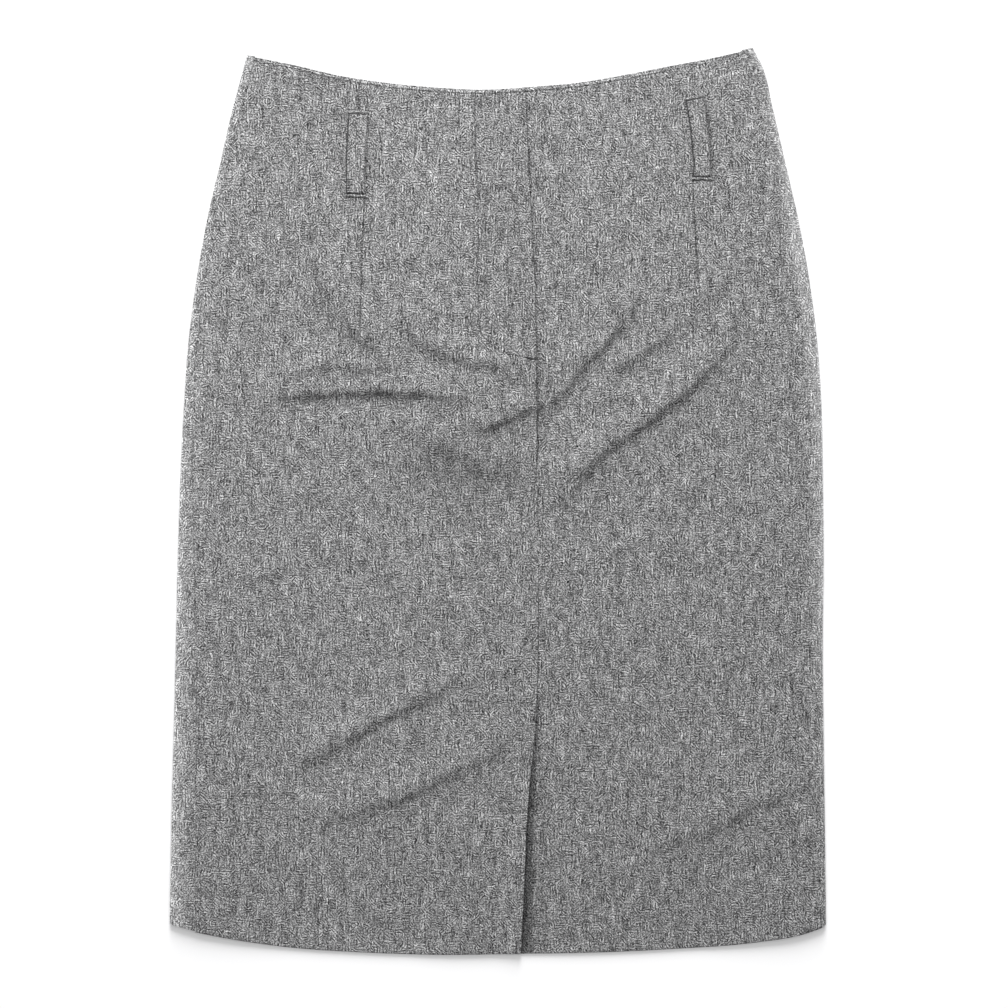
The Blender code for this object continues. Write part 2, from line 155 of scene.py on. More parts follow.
# ---- outline ----------------------------------------------------------------------------
Section = namedtuple("Section", "up left right front_edge left_inset right_inset")
SECTIONS = (
    Section(-0.3155, -0.2286, 0.2289, 0.0162, 0.0180, 0.0014),
    Section(-0.2790, -0.2281, 0.2286, 0.0180, 0.0178, 0.0014),
    Section(-0.2100, -0.2268, 0.2277, 0.0214, 0.0168, 0.0014),
    Section(-0.1490, -0.2252, 0.2269, 0.0268, 0.0158, 0.0014),
    Section(-0.0970, -0.2240, 0.2265, 0.0285, 0.0145, 0.0014),
    Section(-0.0410, -0.2227, 0.2271, 0.0284, 0.0115, 0.0014),
    Section(0.0146, -0.2209, 0.2266, 0.0275, 0.0086, 0.0015),
    Section(0.0700, -0.2182, 0.2254, 0.0274, 0.0066, 0.0018),
    Section(0.1120, -0.2152, 0.2226, 0.0268, 0.0062, 0.0020),
    Section(0.1540, -0.2097, 0.2172, 0.0259, 0.0060, 0.0022),
    Section(0.1950, -0.2025, 0.2098, 0.0237, 0.0056, 0.0032),
    Section(0.2370, -0.1929, 0.2002, 0.0215, 0.0060, 0.0072),
    Section(0.2750, -0.1841, 0.1914, 0.0198, 0.0064, 0.0094),
    Section(0.3020, -0.1767, 0.1847, 0.0189, 0.0062, 0.0102),
    Section(0.3155, -0.1732, 0.1778, 0.0184, 0.0060, 0.0090),
)
WaistPoint = namedtuple("WaistPoint", "across up peek")
WAIST = (
    WaistPoint(-0.1750, 0.3105, 0.0020),
    WaistPoint(-0.1430, 0.3042, 0.0020),
    WaistPoint(-0.1100, 0.2965, 0.0014),
    WaistPoint(-0.0760, 0.2914, 0.0012),
    WaistPoint(-0.0430, 0.2883, 0.0011),
    WaistPoint(-0.0094, 0.2868, 0.0011),
    WaistPoint(0.0240, 0.2888, 0.0011),
    WaistPoint(0.0574, 0.2918, 0.0012),
    WaistPoint(0.0908, 0.2975, 0.0015),
    WaistPoint(0.1242, 0.3040, 0.0024),
    WaistPoint(0.1576, 0.3105, 0.0030),
    WaistPoint(0.1800, 0.3162, 0.0030),
)
HemPoint = namedtuple("HemPoint", "across up")
HEM = (
    HemPoint(-0.2285, -0.2953),
    HemPoint(-0.2100, -0.3001),
    HemPoint(-0.1800, -0.3060),
    HemPoint(-0.1420, -0.3113),
    HemPoint(-0.0980, -0.3143),
    HemPoint(-0.0400, -0.3161),
    HemPoint(0.0073, -0.3155),
    HemPoint(0.0600, -0.3148),
    HemPoint(0.1200, -0.3122),
    HemPoint(0.1770, -0.3077),
    HemPoint(0.2150, -0.3009),
    HemPoint(0.2285, -0.2960),
)
BACK_SHORTER = 0.0008  # at the hem

# painted highlight on the side folds, how much lighter they are: beside the left one, on the
# right one's rim and beside it. The pairs are distances from the fold: none at the first, all at the
# second.
LEFT_PAINTED_HIGHLIGHT = (0.018, 0.004)
RIGHT_PAINTED_HIGHLIGHT = (0.0125, 0.0050)
RIGHT_RIM = (0.0045, 0.0020)
Edge = namedtuple("Edge", "up left rim right")
EDGES = (
    Edge(-0.3155, 0.34, 0.30, 0.00),
    Edge(-0.2500, 0.34, 0.36, 0.02),
    Edge(-0.2080, 0.34, 0.45, 0.06),
    Edge(-0.1520, 0.27, 0.62, 0.15),
    Edge(-0.0970, 0.27, 0.72, 0.38),
    Edge(-0.0410, 0.20, 1.10, 0.36),
    Edge(0.0146, 0.20, 1.05, 0.46),
    Edge(0.0700, 0.12, 0.93, 0.60),
    Edge(0.1260, 0.07, 0.77, 0.80),
    Edge(0.1820, 0.00, 0.65, 0.97),
    Edge(0.2230, 0.00, 0.90, 0.50),
    Edge(0.2650, 0.00, 0.71, 0.20),
    Edge(0.3070, 0.00, 0.42, 0.06),
)

# ---- creases of the front, in millimetres -----------------------------------------------
# path is the middle of the crease's steep side, which faces the hem: across, up, and the height
# of the crease there. The cloth rises by that height across twice sharp, then falls away over
# above. trough, a share of the height, and below give the hollow at its foot, and halo how much
# painted shade that side has.
Crease = namedtuple("Crease", "path sharp above trough below halo")
CREASES = (
    Crease(
        (
            (-164, 72, 0), (-140, 72, 1.48), (-116, 73, 1.48), (-92, 74.5, 1.7), (-70, 73.5, 1.59),
            (-47, 72, 1.38), (-30, 70, 0.95), (-19, 68, 0.53), (-5, 64, 0),
        ),
        2.8, 15, 0.2, 8, 0.35,
    ),
    Crease(
        (
            (-161, 85, 0), (-144, 86, 0.4), (-128, 90, 0.75), (-110, 92.5, 0.82), (-90, 90, 0.82),
            (-68, 90, 0),
        ),
        2.2, 8, 0.2, 6, 0.0,
    ),
    Crease(
        (
            (-130, 176, 0), (-122, 152, 1.7), (-110, 130, 1.9), (-97, 112, 2.0), (-82, 100, 2.1),
            (-70, 88, 0),
        ),
        4.2, 15, 0.2, 12, 0.40,
    ),
    Crease(
        (
            (-84, 124, 0), (-66, 119, 0.65), (-50, 107, 1.04), (-37, 100, 1.04), (-25, 95.5, 0.91),
            (-8, 93, 0.78), (4, 94, 0.78), (22, 98, 0),
        ),
        2.4, 13, 0.2, 8, 0.0,
    ),
    Crease(
        (
            (-20, 46, 0), (-4, 51, 1.05), (16, 59, 0.9), (35, 66, 0.95), (50, 79, 1.05), (62, 95, 1.15),
            (75, 106, 1.05), (87, 122, 0.8), (98, 137, 0.45), (105, 147, 0),
        ),
        1.8, 12, 0.3, 8, 0.0,
    ),
    Crease(
        ((73, 83, 0), (89, 93, 0.8), (104, 103, 0.9), (117, 112, 0.8), (130, 122, 0)),
        2.6, 9, 0.3, 7, 0.0,
    ),
    Crease(
        (
            (34, -8, 0), (53, 5, 0.8), (66, 25, 1.4), (84, 38, 1.6), (99, 49, 1.55), (114, 61, 1.5),
            (130, 73, 1.4), (146, 87, 1.2), (160, 104, 0.7), (171, 115, 0.4), (182, 123, 0),
        ),
        3.0, 16, -0.1, 20, 0.30,
    ),
    Crease(((134, 134, 0), (148, 143, 0.5), (160, 152, 0.5), (174, 166, 0)), 4.0, 12, 0.3, 8, 0.0),
    Crease(
        (
            (-66, 48, 0), (-48, 38, 1.3), (-33, 34, 1.6), (-22, 27, 1.9), (-12, 20, 1.5),
            (0, 19, 1), (18, 29, 0),
        ),
        6.5, 18, 0.25, 24, 0.60,
    ),
    Crease(
        ((-139, 39, 0), (-127, 33, 0.3), (-124, 24, 0.3), (-130, 11, 0.3), (-139, 2, 0.3), (-152, -2, 0)),
        2.4, 6, 0.1, 5, 0.0,
    ),
    Crease(
        (
            (-144, -186, 0), (-125, -180, 0.77), (-103, -168, 0.95), (-82, -155, 1.03),
            (-62, -145, 1.07), (-47, -138, 0.86), (-30, -133, 0),
        ),
        3.2, 14, 0.3, 9, 0.0,
    ),
    Crease(
        (
            (-52, -134, 0), (-37, -129, 0.45), (-25, -127, 0.54), (-8, -123, 0.36), (8, -119, 0.36),
            (29, -114, 0),
        ),
        2.4, 9, 0.2, 7, 0.0,
    ),
    Crease(
        (
            (-128, -231, 0), (-106, -221, 0.85), (-84, -215, 0.95), (-64, -207, 1.38),
            (-47, -200, 1.14), (-27, -188, 1.04), (-8, -180, 0.85), (6, -171, 0.81), (21, -159, 0),
        ),
        4.4, 14, 0.1, 16, 0.50,
    ),
    Crease(
        (
            (100, -250, 0), (119, -241, 0.6), (140, -232, 0.6), (160, -225, 0.9), (174, -217, 0.95),
            (195, -209, 0.7), (217, -198, 0),
        ),
        4.5, 16, 0.2, 16, 0.3,
    ),
    Crease(((-182, -63, 0), (-158, -52, 0.4), (-134, -48, 0)), 3.5, 9, 0.2, 8, 0.0),
    Crease(((80, -40, 0), (90, -35, 0.4), (100, -31, 0.5), (117, -34, 0)), 2.4, 7, 0.2, 6, 0.0),
)
Hollow = namedtuple("Hollow", "across up wide tall share")
HOLLOWS = (Hollow(-0.012, 0.030, 0.060, 0.028, 0.13),)  # in metres, and how much painted shade
PATH_STEPS = 40
CREASE_REACH = 0.045  # farther than this from its path a crease has no effect
CREASE_WANDER = 0.0007  # how far its line strays from the smooth path
CREASE_UNEVEN = 0.16  # share by which its height varies
CREASE_SIDE = (0.002, 0.018)  # from a side fold: no crease at the first, all at the second
CREASE_HEM = (0.010, 0.040)  # the same from the hem
CREASE_DARK_ABOVE = 0.0024  # width of the painted shade in a crease, on its two sides
CREASE_DARK_BELOW = 0.0052
CREASE_DARK_SHARP = 0.0028  # half the width of a step that is fully dark
CREASE_HIGH = 0.0015  # height of a crease that is fully dark

# ---- painted light and shade of the cloth -----------------------------------------------
CREASE_DARK = 0.30  # painted shade: share of the light that a fully dark crease loses
PAINTED_HIGHLIGHT_SHADE = 0.42  # tone that the side folds' painted highlight lightens towards
PAINTED_HIGHLIGHT_SHARE = 0.20
PAINTED_HIGHLIGHT_FLAT = 0.45  # share of that painted highlight which flattens the weave
VENT_SHADE = 0.66  # painted shadow: share of the light lost right beside the upper vent edge
VENT_DARK = 0.0095  # width of that dark at the hem
VENT_DARK_TOP = 0.35  # share of that width at the vent's top
VENT_DARK_CORE = 2.9  # how many times narrower its darkest part is
VENT_OPENS = (0.003, -0.006)  # above the vent's top, where the dark begins
VENT_OPENS_SHARE = 0.65  # of the dark there
VENT_OPENS_LENGTH = 0.060
LOOP_SHADE = 0.12  # painted shadow: share of the light lost right beside a belt loop
LOOP_SHADE_WIDTH = 0.0018
FLY_SHADE = 0.05  # painted shade: share of the light lost over the fly strip
FLY_SHADE_SIDE = (0.040, 0.036)  # from the front edge
FLY_SHADE_EDGE = (0.0, 0.004)
FLY_SHADE_FOOT = (0.12, 0.16)
FLY_SHADE_HEAD = (0.286, 0.276)

# ---- sewn lines: paths in millimetres ---------------------------------------------------
FLY_STITCH = (
    (-15.4, 288), (-16.0, 268), (-15.2, 248), (-14.0, 222), (-13.6, 199), (-13.5, 160),
    (-13.3, 140), (-12.3, 120), (-8.7, 113.5), (-2.7, 107.5), (4.2, 103.0), (12.2, 101.6),
    (21.2, 99.5), (27.2, 98.6),
)
LEFT_DART = ((-97.5, 285), (-93.0, 212), (-94.3, 175), (-95.7, 120))
RIGHT_DART = ((139.0, 250), (136.1, 221), (137.5, 193), (139.1, 162), (140.7, 147))
DART_HEAD = ((137.4, 306), (138.8, 300), (142.1, 289.7))
FACING_END = ((143.6, 291.9), (157, 295.6), (170, 299.1))

# ---- sewn lines: how the material draws them, in metres ---------------------------------
# A line whose stitch is nought runs across the skirt, with the node group's own stitch length,
# and one whose darkness is below nought is a painted highlight, lighter than the cloth.
Line = namedtuple("Line", "mark stitch width darkness depth")
LINES = (
    Line("fly_stitch", 0.0030, 0.00060, 0.50, 0.0004),
    Line("dart", 0.0028, 0.00070, 1.00, 0.0003),
    Line("seam", 0.0030, 0.00060, 0.55, 0.0),
    Line("front", 0.0034, 0.00032, 1.00, 0.0),
    # head, facing and brim are painted highlights
    Line("head", 0.0030, 0.00060, -0.70, 0.0),
    Line("facing", 0.0030, 0.00060, -0.60, 0.0),
    Line("waist", 0.0, 0.00062, 0.90, 0.0003),
    Line("brim", 0.0, 0.00050, -0.55, 0.0),
)
LEFT_LINES = ("fly_stitch", "dart", "seam", "front", "waist", "brim")
RIGHT_LINES = ("dart", "front", "head", "facing", "waist", "brim")
BREAKS_PER_METRE = 240.0  # chance breaks along a line
BREAKS = (0.30, 0.62, 0.35, 1.0)  # from and to which chance, and the line's strength at each
HOLE_DARK = 0.45  # share of a line's dark that only its stitch holes have, and of its depth
HOLE_DEPTH = 0.3
MARK_STEPS = 60
WAIST_SEAM = 0.0032  # from the waist edge down to the facing's seam
WAIST_SEAM_LEAST = 0.0004  # the same from the front's own edge
WAIST_BRIM = 0.0021  # from the waist edge down to the middle of its painted highlight band
# the front seam's line grows fainter as it is moved to the side: off the cloth at the vent, a
# little where the cloth lies smooth, and less beside the fly
FRONT_OFF = 0.01
FRONT_OFF_LENGTH = 0.004
FRONT_SMOOTH = 0.00035
FRONT_SMOOTH_HEAD = (0.050, 0.030)
FRONT_SMOOTH_FOOT = (-0.060, -0.040)
FRONT_FLY = 0.00012
FRONT_FLY_FOOT = (0.07, 0.10)

# ---- stitches of thread -----------------------------------------------------------------
RING_PLACES = np.array([0.0, 0.12, 0.34, 0.66, 0.88, 1.0])  # along a stitch
RING_SIZES = np.array([0.25, 0.85, 1.0, 1.0, 0.85, 0.25])  # shares of its radius
RING_POINTS = 6
PLY = (9000.0, 6000.0, 9000.0)  # radians of the plies' wave in a metre of X, Y and Z
PLY_DARK = 0.45  # painted shade: share of the colour left between the plies
PLY_RELIEF = 0.00005
LINT_PER_METRE, LINT = 2500.0, 0.6
FLY_STEPS = 600
STITCH_START = 0.002
STITCH_SHARE = 0.80  # of a stitch's length that lies on top
STITCH_BOW = 0.00012  # how far its middle rises from its sunken ends
TACK_RADIUS = 0.00020
TACK_BOW = 0.00005
TACK_ABOVE = 0.00008  # over the cloth
LOOP_TACK_ABOVE = 0.00006
LOOP_TACK_SWAY = 0.00035  # to each side of the line it follows
LOOP_TACK_STEPS = np.arange(-0.86, 0.861, 0.10)  # across the loop
FOOT_TACK_SWAY = 0.00050
FOOT_TACK_PART = 56  # steps of the fly's path that it covers, from the fly's foot
FOOT_TACK_STEPS = 21
VENT_TACK = (0.0303, 0.0360, -0.1552)  # from x to x, at y
VENT_TACK_SWAY = 0.0003
VENT_TACK_STEPS = 12

# ---- belt loops -------------------------------------------------------------------------
# low and high are the middles of a loop's ends. bow is how far it curves to the right between
# them, pinch the share by which it narrows above its low end, left_dark and right_dark how
# much painted shade its sides have, and a skew how steeply an end runs up to the right.
Loop = namedtuple(
    "Loop",
    "name node low_x low_y high_x high_y width bow pinch left_dark right_dark low_skew high_skew",
)
LOOPS = (
    Loop(
        "left_loop_strap", "belt_loop_left", -0.0990, 0.2118, -0.0969, 0.2716, 0.0134, -0.0008, 0.05,
        0.92, 0.20, 0.0, 0.0,
    ),
    Loop(
        "right_loop_strap", "belt_loop_right", 0.1423, 0.2234, 0.1367, 0.2817, 0.0132, 0.0017, 0.10,
        0.92, 0.50, -0.12, 0.13,
    ),
)
LOOP_WALL = 0.0010
LOOP_SEAT = 0.0001  # over the panel
LOOP_ARCH = 0.0003  # how far the strap stands off between its ends
LOOP_ARCH_RISE = (0.0030, 0.016)  # from an end
LOOP_TACK = 0.0021  # from each end to the line it is tacked along
LOOP_GROOVE = 0.0006  # depth and width of the groove there
LOOP_GROOVE_WIDTH = 0.0005
LOOP_PINCH_AT = 0.011
LOOP_PINCH_WIDTH = 0.006
LOOP_FLARE = 0.0006  # how much wider each side is at the folded ends
LOOP_FLARE_FALL = (0.0028, 0.0010)
LOOP_THIN = 0.0003  # how much thinner the pressed ends are
LOOP_THIN_FALL = (0.0014, 0.0028)
LOOP_END_ROUND = 0.0010
LOOP_SIDE_ROUND = 0.0006
LOOP_HOLLOW = 0.00015  # along the strap's middle
LOOP_RIPPLE = 0.00012
LOOP_STEP = 0.0006
LOOP_SIDE_RIM = 0.0009
LOOP_DARK_WIDTH = 0.0010  # of the painted shade along a side
LOOP_DARK_START = (0.0004, 0.0020)
# painted shade in the tack groove
LOOP_GROOVE_DARK = 0.60
LOOP_GROOVE_DARK_WIDTH = 0.0006
LOOP_END_LIGHT = -0.4  # painted highlight on the folded end, where it faces the light
LOOP_END_LIGHT_AT = 0.0009
LOOP_END_LIGHT_WIDTH = 0.0005
LOOP_DARKEST = 0.9

# ---- mesh density -----------------------------------------------------------------------
ROW_STEP = 0.0022
COLUMN_STEP = 0.0023
FINE_STEP = 0.0015
FINE_STRIP = 0.056  # width of the left front's fine columns, beside its edge
FINE_COLUMNS = 14  # of the right front, past the front edge
RIM = (0.0, 0.12, 0.35, 0.65, 1.0)  # rows of a rounded rim, as shares of its radius
RIM_IN = np.array(RIM[:-1])[::-1]
ROUNDS = 12  # of substitution, until a row's X and Y agree
FOLD_STEPS = 7  # of a quarter round
STRIP_FINE = 0.12  # share of the back's strip on the front with fine columns, at the fold
STRIP_STEPS = (5, 11)
STRIP_POWER = 1.6
FLAT_STEPS = 85
FLAT_EDGE = (0.004, 0.008)  # from a fold: where the flat part takes its turned wall

# ---- weave, in yarns --------------------------------------------------------------------
SWAY_SIZE, SWAY = 9, 4.0  # of the slow and the quick bending of the yarns
QUIVER_SIZE, QUIVER = 3.5, 1.5
PATCH_SIZE = 5.7
PATCH_FLAT = (1.0, 0.8, 1.0)
UPRIGHT = 0.32  # share of the patches whose ribs run upright
LEVEL_TO = 0.64  # share up to which they run upright or across; the rest is aslant
LEAN = 0.72  # share of these that lean one way
UPRIGHT_RIBS = 1.2  # quarter turns of the ribs' wave per yarn; it is 1 where they run aslant
LEVEL_RIBS = 1.35
RIB_SHIFT = 4.0
PLAIN_SIZE = 9  # of the fields where the ribs are weak or strong
PLAIN = (0.35, 0.65)
RIBS = (0.04, 0.26)
CROSSINGS = 0.52
WARP_LENGTH, WARP = 38, 0.56
WEFT_LENGTH, WEFT = 12, 0.28
CLOUD_SIZE, CLOUD = (10, 22), 0.38
WEFT_SHIFT = (37.1, 11.7, 5.0)  # so that no two of the noises are read at the same places
CLOUD_SHIFT = (3.1, 71.7, 9.0)
DARKEST, SHADE_POWER = 0.03, 2.2
RIB_HEIGHT = 0.30  # shares of the weave's relief: the ribs and the fuzz on them
FUZZ_PER_YARN, FUZZ_HEIGHT = 1.7, 0.5
WOOL_ROUGH = (0.0, 0.6, 0.95, 0.82)  # from and to which shade, and the roughness at each
WOOL_BUMP = 0.6
# how far each piece's weave is moved, in metres, so that no two pieces show the same stretch
WEAVE_SHIFT = {
    "left_front_wool": (0.0, 0.0, 0.0),
    "right_front_wool": (0.37, 0.21, 0.0),
    "back_wool": (0.81, 0.47, 0.0),
    "left_loop_wool": (0.13, 0.59, 0.0),
    "right_loop_wool": (0.43, 0.59, 0.0),
}

# ---- floor, lamps and camera ------------------------------------------------------------
FLOOR_REACH = 4.0
FLOOR_LEVEL = -0.0003
FLOOR_GRAIN = 900.0  # grains in a metre
FLOOR_DARK = 0.985  # share of the colour left in them
# The skirt and the floor have their own lamps. power names a setting, and share is how much of
# it a lamp takes.
Lamp = namedtuple("Lamp", "name place target size power share on_floor")
MIDDLE = (0.0, 0.0, 0.0)
LAMPS = (
    Lamp("waist_light", (0.0, 2.5, 1.25), MIDDLE, (1.0, 0.4), "waist_power", 1.0, False),
    Lamp("floor_waist_light", (0.0, 2.5, 1.6), MIDDLE, (1.0, 2.4), "waist_power", 0.90, True),
    Lamp("slant_light", (-1.45, 1.70, 0.85), MIDDLE, (0.6, 0.3), "slant_power", 1.0, False),
    Lamp("left_light", (-1.57, 0.0, 0.28), MIDDLE, (1.2, 0.2), "left_power", 1.0, False),
    Lamp("right_light", (1.2, 0.5, 0.11), (0.1, 0.1, 0.0), (0.6, 0.06), "right_power", 1.0, False),
    Lamp("floor_light", (0.0, 0.0, 2.6), MIDDLE, (2.0, 2.0), "floor_power", 1.0, True),
)
CAMERA_LENS = 100.0  # in millimetres, as is the sensor
CAMERA_SENSOR = 36.0
CAMERA_PLACE = (0.0045, -0.0021)
CAMERA_RISE = 0.004  # the level at which it takes in the view's width


# ---- curves and tables ------------------------------------------------------------------
def column(table, name):
    """One named column of a table."""
    return np.array([getattr(row, name) for row in table])


def between(t, i, values, slope, span=1.0):
    """(1 + 2t)(1 - t)^2 a + t(1 - t)^2 span m + t^2(3 - 2t) b + t^2(t - 1) span n, with a and b
    the values at i and i + 1, and m and n the slopes there."""
    start = (1 + 2 * t) * (1 - t) ** 2 * values[i] + t * (1 - t) ** 2 * span * slope[i]
    end = t * t * (3 - 2 * t) * values[i + 1] + t * t * (t - 1) * span * slope[i + 1]
    return start + end


def smooth_curve(at, table, key, name):
    """A curve through a table's points, whose slope at each is that of the chord between the
    point's neighbours."""
    x, y = column(table, key), column(table, name)
    slope = np.gradient(y, x)
    at = np.clip(at, x[0], x[-1])
    i = np.clip(np.searchsorted(x, at) - 1, 0, len(x) - 2)
    span = x[i + 1] - x[i]
    return between((at - x[i]) / span, i, y, slope, span)


def ease(value, start, end):
    """3t^2 - 2t^3: 0 before start and 1 after end, with a smooth rise between. Start may be the
    larger one."""
    t = np.clip((value - start) / (end - start), 0, 1)
    return t * t * (3 - 2 * t)


def bell(value, width):
    """exp(-(value / width)^2): 1 in the middle, 0 far from it."""
    return np.exp(-((value / width) ** 2))


def mix(a, b, share):
    """a where share is 0, b where it is 1."""
    return a + (b - a) * share


def section(up, name):
    """A width of the outline at a height."""
    return smooth_curve(up, SECTIONS, "up", name)


def hem_line(x):
    return smooth_curve(x, HEM, "across", "up")


def waist_line(x):
    return smooth_curve(x, WAIST, "across", "up")


def front_waist_line(x):
    return waist_line(x) - smooth_curve(x, WAIST, "across", "peek")


def smooth_path(points, count):
    """Such a curve through points across and up, in millimetres, read at evenly spaced
    parameters. A third number runs along."""
    p = np.array(points, float) * MILLIMETRE
    slope = np.gradient(p, axis=0)
    t = np.linspace(0, len(p) - 1, count)
    i = np.minimum(t.astype(int), len(p) - 2)
    return between((t - i)[:, None], i, p, slope)


def run_along(path):
    """Length of a path up to each of its points."""
    return np.concatenate([[0], np.cumsum(np.hypot(*np.diff(path[:, :2], axis=0).T))])


def beside_path(x, y, path):
    """For each point, its signed distance to the path, positive on the left of its direction,
    and how far along the path the nearest place is."""
    ax, ay = path[:-1, 0], path[:-1, 1]
    dx, dy = np.diff(path[:, 0]), np.diff(path[:, 1])
    length = np.hypot(dx, dy)
    before = run_along(path)[:-1]
    rx, ry = x[..., None] - ax, y[..., None] - ay
    along = np.clip((rx * dx + ry * dy) / length**2, 0, 1)
    away = np.hypot(rx - along * dx, ry - along * dy)
    near = away.argmin(axis=-1)[..., None]
    side = np.sign(np.take_along_axis(dx * ry - dy * rx, near, -1)[..., 0])
    place = np.take_along_axis(along * length + before, near, -1)[..., 0]
    return side * np.take_along_axis(away, near, -1)[..., 0], place


def wander(along, seed):
    """A slow, uneven wave between -1 and 1: three sines of unlike lengths, in metres."""
    a = np.sin(along * 97.0 + seed * 1.7)
    b = np.sin(along * 211.0 + seed * 4.1)
    c = np.sin(along * 39.0 + seed * 2.9)
    return (a + 0.6 * b + 0.8 * c) / 2.4


def crease_relief(x, y, crease, seed):
    """A soft step along the crease's path, with d the distance above it and h its height there:
    z = h (1 + sin(pi d / 2 sharp)) / 2 in the step, h exp(-((d - sharp) / above)^2) above it,
    less h trough exp(-((d + sharp) / below)^2) for the hollow at its foot. Also how much painted
    shade it has there, 1 for a crease of CREASE_HIGH."""
    path = smooth_path(crease.path, PATH_STEPS)
    low, high = path[:, :2].min(axis=0) - CREASE_REACH, path[:, :2].max(axis=0) + CREASE_REACH
    relief, dark = np.zeros(x.shape), np.zeros(x.shape)
    near = (x > low[0]) & (x < high[0]) & (y > low[1]) & (y < high[1])
    if not near.any():
        return relief, dark
    away, place = beside_path(x[near], y[near], path)
    away = away + CREASE_WANDER * wander(place, seed)
    height = np.maximum(np.interp(place, run_along(path), path[:, 2]), 0)
    height = height * (1 + CREASE_UNEVEN * wander(place * 1.1, seed + 3.0))
    sharp, above, below = np.array([crease.sharp, crease.above, crease.below]) * MILLIMETRE
    rise = 0.5 + 0.5 * np.sin(np.clip(away / sharp, -1, 1) * np.pi / 2)
    body = np.where(away > sharp, bell(away - sharp, above), rise)
    relief[near] = height * (body - crease.trough * bell(away + sharp, below))
    width = np.where(away > 0, CREASE_DARK_ABOVE, CREASE_DARK_BELOW) + sharp / 3
    core = CREASE_DARK_SHARP / sharp * bell(away, width)
    side = crease.halo * np.where(away < 0, bell(away, below), 0)
    dark[near] = height / CREASE_HIGH * np.maximum(core, side)
    return relief, dark


def hollow_painted_shade(x, y):
    """How much painted shade darkens the broad hollows between the creases."""
    dark = np.zeros(x.shape)
    for one in HOLLOWS:
        dark += one.share * bell(x - one.across, one.wide) * bell(y - one.up, one.tall)
    return dark


def from_side(x, y):
    """Distance to the nearer side fold."""
    return np.minimum(x - section(y, "left"), section(y, "right") - x)


def creases(x, y):
    """Relief and painted shade of all the creases; both fade towards the side folds and the hem."""
    fade = ease(from_side(x, y), *CREASE_SIDE) * ease(y - hem_line(x), *CREASE_HEM)
    each = [crease_relief(x, y, crease, seed) for seed, crease in enumerate(CREASES)]
    return sum(one[0] for one in each) * fade, sum(one[1] for one in each) * fade


# ---- the laid skirt's surfaces ----------------------------------------------------------
def turned_share(x, y):
    """1 where the hem or the waist edge is turned in, 0 on the single cloth."""
    hem = ease(y - hem_line(x), HEM_TURN + TURN_STEP, HEM_TURN)
    waist = ease(front_waist_line(x) - y, WAIST_TURN + TURN_STEP, WAIST_TURN)
    return np.maximum(hem, waist)


def wall(x, y):
    """Thickness of a panel; for the back, which lies flat at 0, the height of its upper side."""
    return mix(CLOTH, TURNED, turned_share(x, y))


def zip_share(x, y):
    """1 over the zip and a little around it, 0 away from it."""
    edge = section(y, "front_edge")
    middle = edge + ZIP_PAST_EDGE - ZIP_WIDTH / 2
    beside = ZIP_WIDTH / 2 + ZIP_ROOM
    below = ZIP_START + ZIP_LENGTH + ZIP_ROOM_END
    across = ease(abs(x - middle), beside + ZIP_ROOM_FALL, beside)
    return across * ease(front_waist_line(x) - y, below + ZIP_ROOM_FALL, below)


def side_drop(x, y):
    """How far the cloth has come down beside a side fold, at the nearer one of the two."""
    left = fold_drop(x - section(y, "left"), SIDE_ROUND_LEFT)
    return np.maximum(left, fold_drop(section(y, "right") - x, SIDE_ROUND_RIGHT))


def fold_drop(beside, width):
    """A flattened quarter round, half the side's height deep: with s the share of the width, it
    comes down by 1 - (1 - (1 - s)^p)^(1 / p) of that."""
    share = np.clip(beside / width, 0, 1)
    return SIDE_TOP / 2 * (1 - (1 - (1 - share) ** ROUND_POWER) ** (1 / ROUND_POWER))


def side_fold_painted_highlight(x, y):
    """How much painted highlight lightens the side folds."""
    left, right = x - section(y, "left"), section(y, "right") - x
    rim, wide = smooth_curve(y, EDGES, "up", "rim"), smooth_curve(y, EDGES, "up", "right")
    on_right = mix(wide, rim, ease(right, *RIGHT_RIM)) * ease(right, *RIGHT_PAINTED_HIGHLIGHT)
    return on_right + smooth_curve(y, EDGES, "up", "left") * ease(left, *LEFT_PAINTED_HIGHLIGHT)


def panel_top(x, y):
    """Height of the front's upper side: SIDE_TOP over the side folds, EDGE_TOP at the waist and
    at the hem and MIDDLE_TOP between, blended by ease, plus the creases and a ripple. It clears
    the zip and the back, and comes down beside the side folds."""
    side = ease(from_side(x, y), SIDE_FALL, SIDE_FLAT)
    hem = ease(y - hem_line(x), HEM_FALL, HEM_FLAT)
    waist = ease(front_waist_line(x) - y, WAIST_FALL, WAIST_FLAT)
    top = mix(mix(MIDDLE_TOP, EDGE_TOP, np.maximum(hem, waist)), SIDE_TOP, side)
    top = top + creases(x, y)[0]
    top = top + RIPPLE * wander(x * 0.9 + y * 0.3, 2.0) * wander(y * 0.8 - x * 0.4, 5.0)
    over_zip = CLOTH + ZIP_WALL + CLOTH + 2 * GAP + 2 * SLACK
    top = top + zip_share(x, y) * np.maximum(over_zip - top, 0)
    lowest = wall(x, y) + GAP + wall(x, y)
    return np.maximum(top, lowest) - side_drop(x, y)


def fly_top():
    """Y of the front's waist edge at the fly."""
    return float(front_waist_line(section(np.array(FLY_HEIGHT), "front_edge")))


def lap_width(y):
    """How far the right front runs under the left one; negative where they meet edge to edge."""
    fly_end = fly_top() - FLY_LENGTH
    fly = ease(y, fly_end - LAP_CHANGE, fly_end)
    vent = ease(y, VENT_TOP + VENT_CHANGE / 2, VENT_TOP - VENT_CHANGE / 2)
    return -SEAM + (FLY_LAP + SEAM) * fly + (VENT_LAP + SEAM) * vent


def dip_share(y):
    """1 beside each lap, where the lower layer lies close to the back."""
    closed = fly_top() - FLY_LENGTH - LAP_CHANGE - DIP_LEAD
    opened = VENT_TOP + VENT_CHANGE / 2 + VENT_DIP_LEAD
    fly, vent = ease(y, closed - DIP_FALL, closed), ease(y, opened + VENT_DIP_FALL, opened)
    return np.maximum(fly, vent)


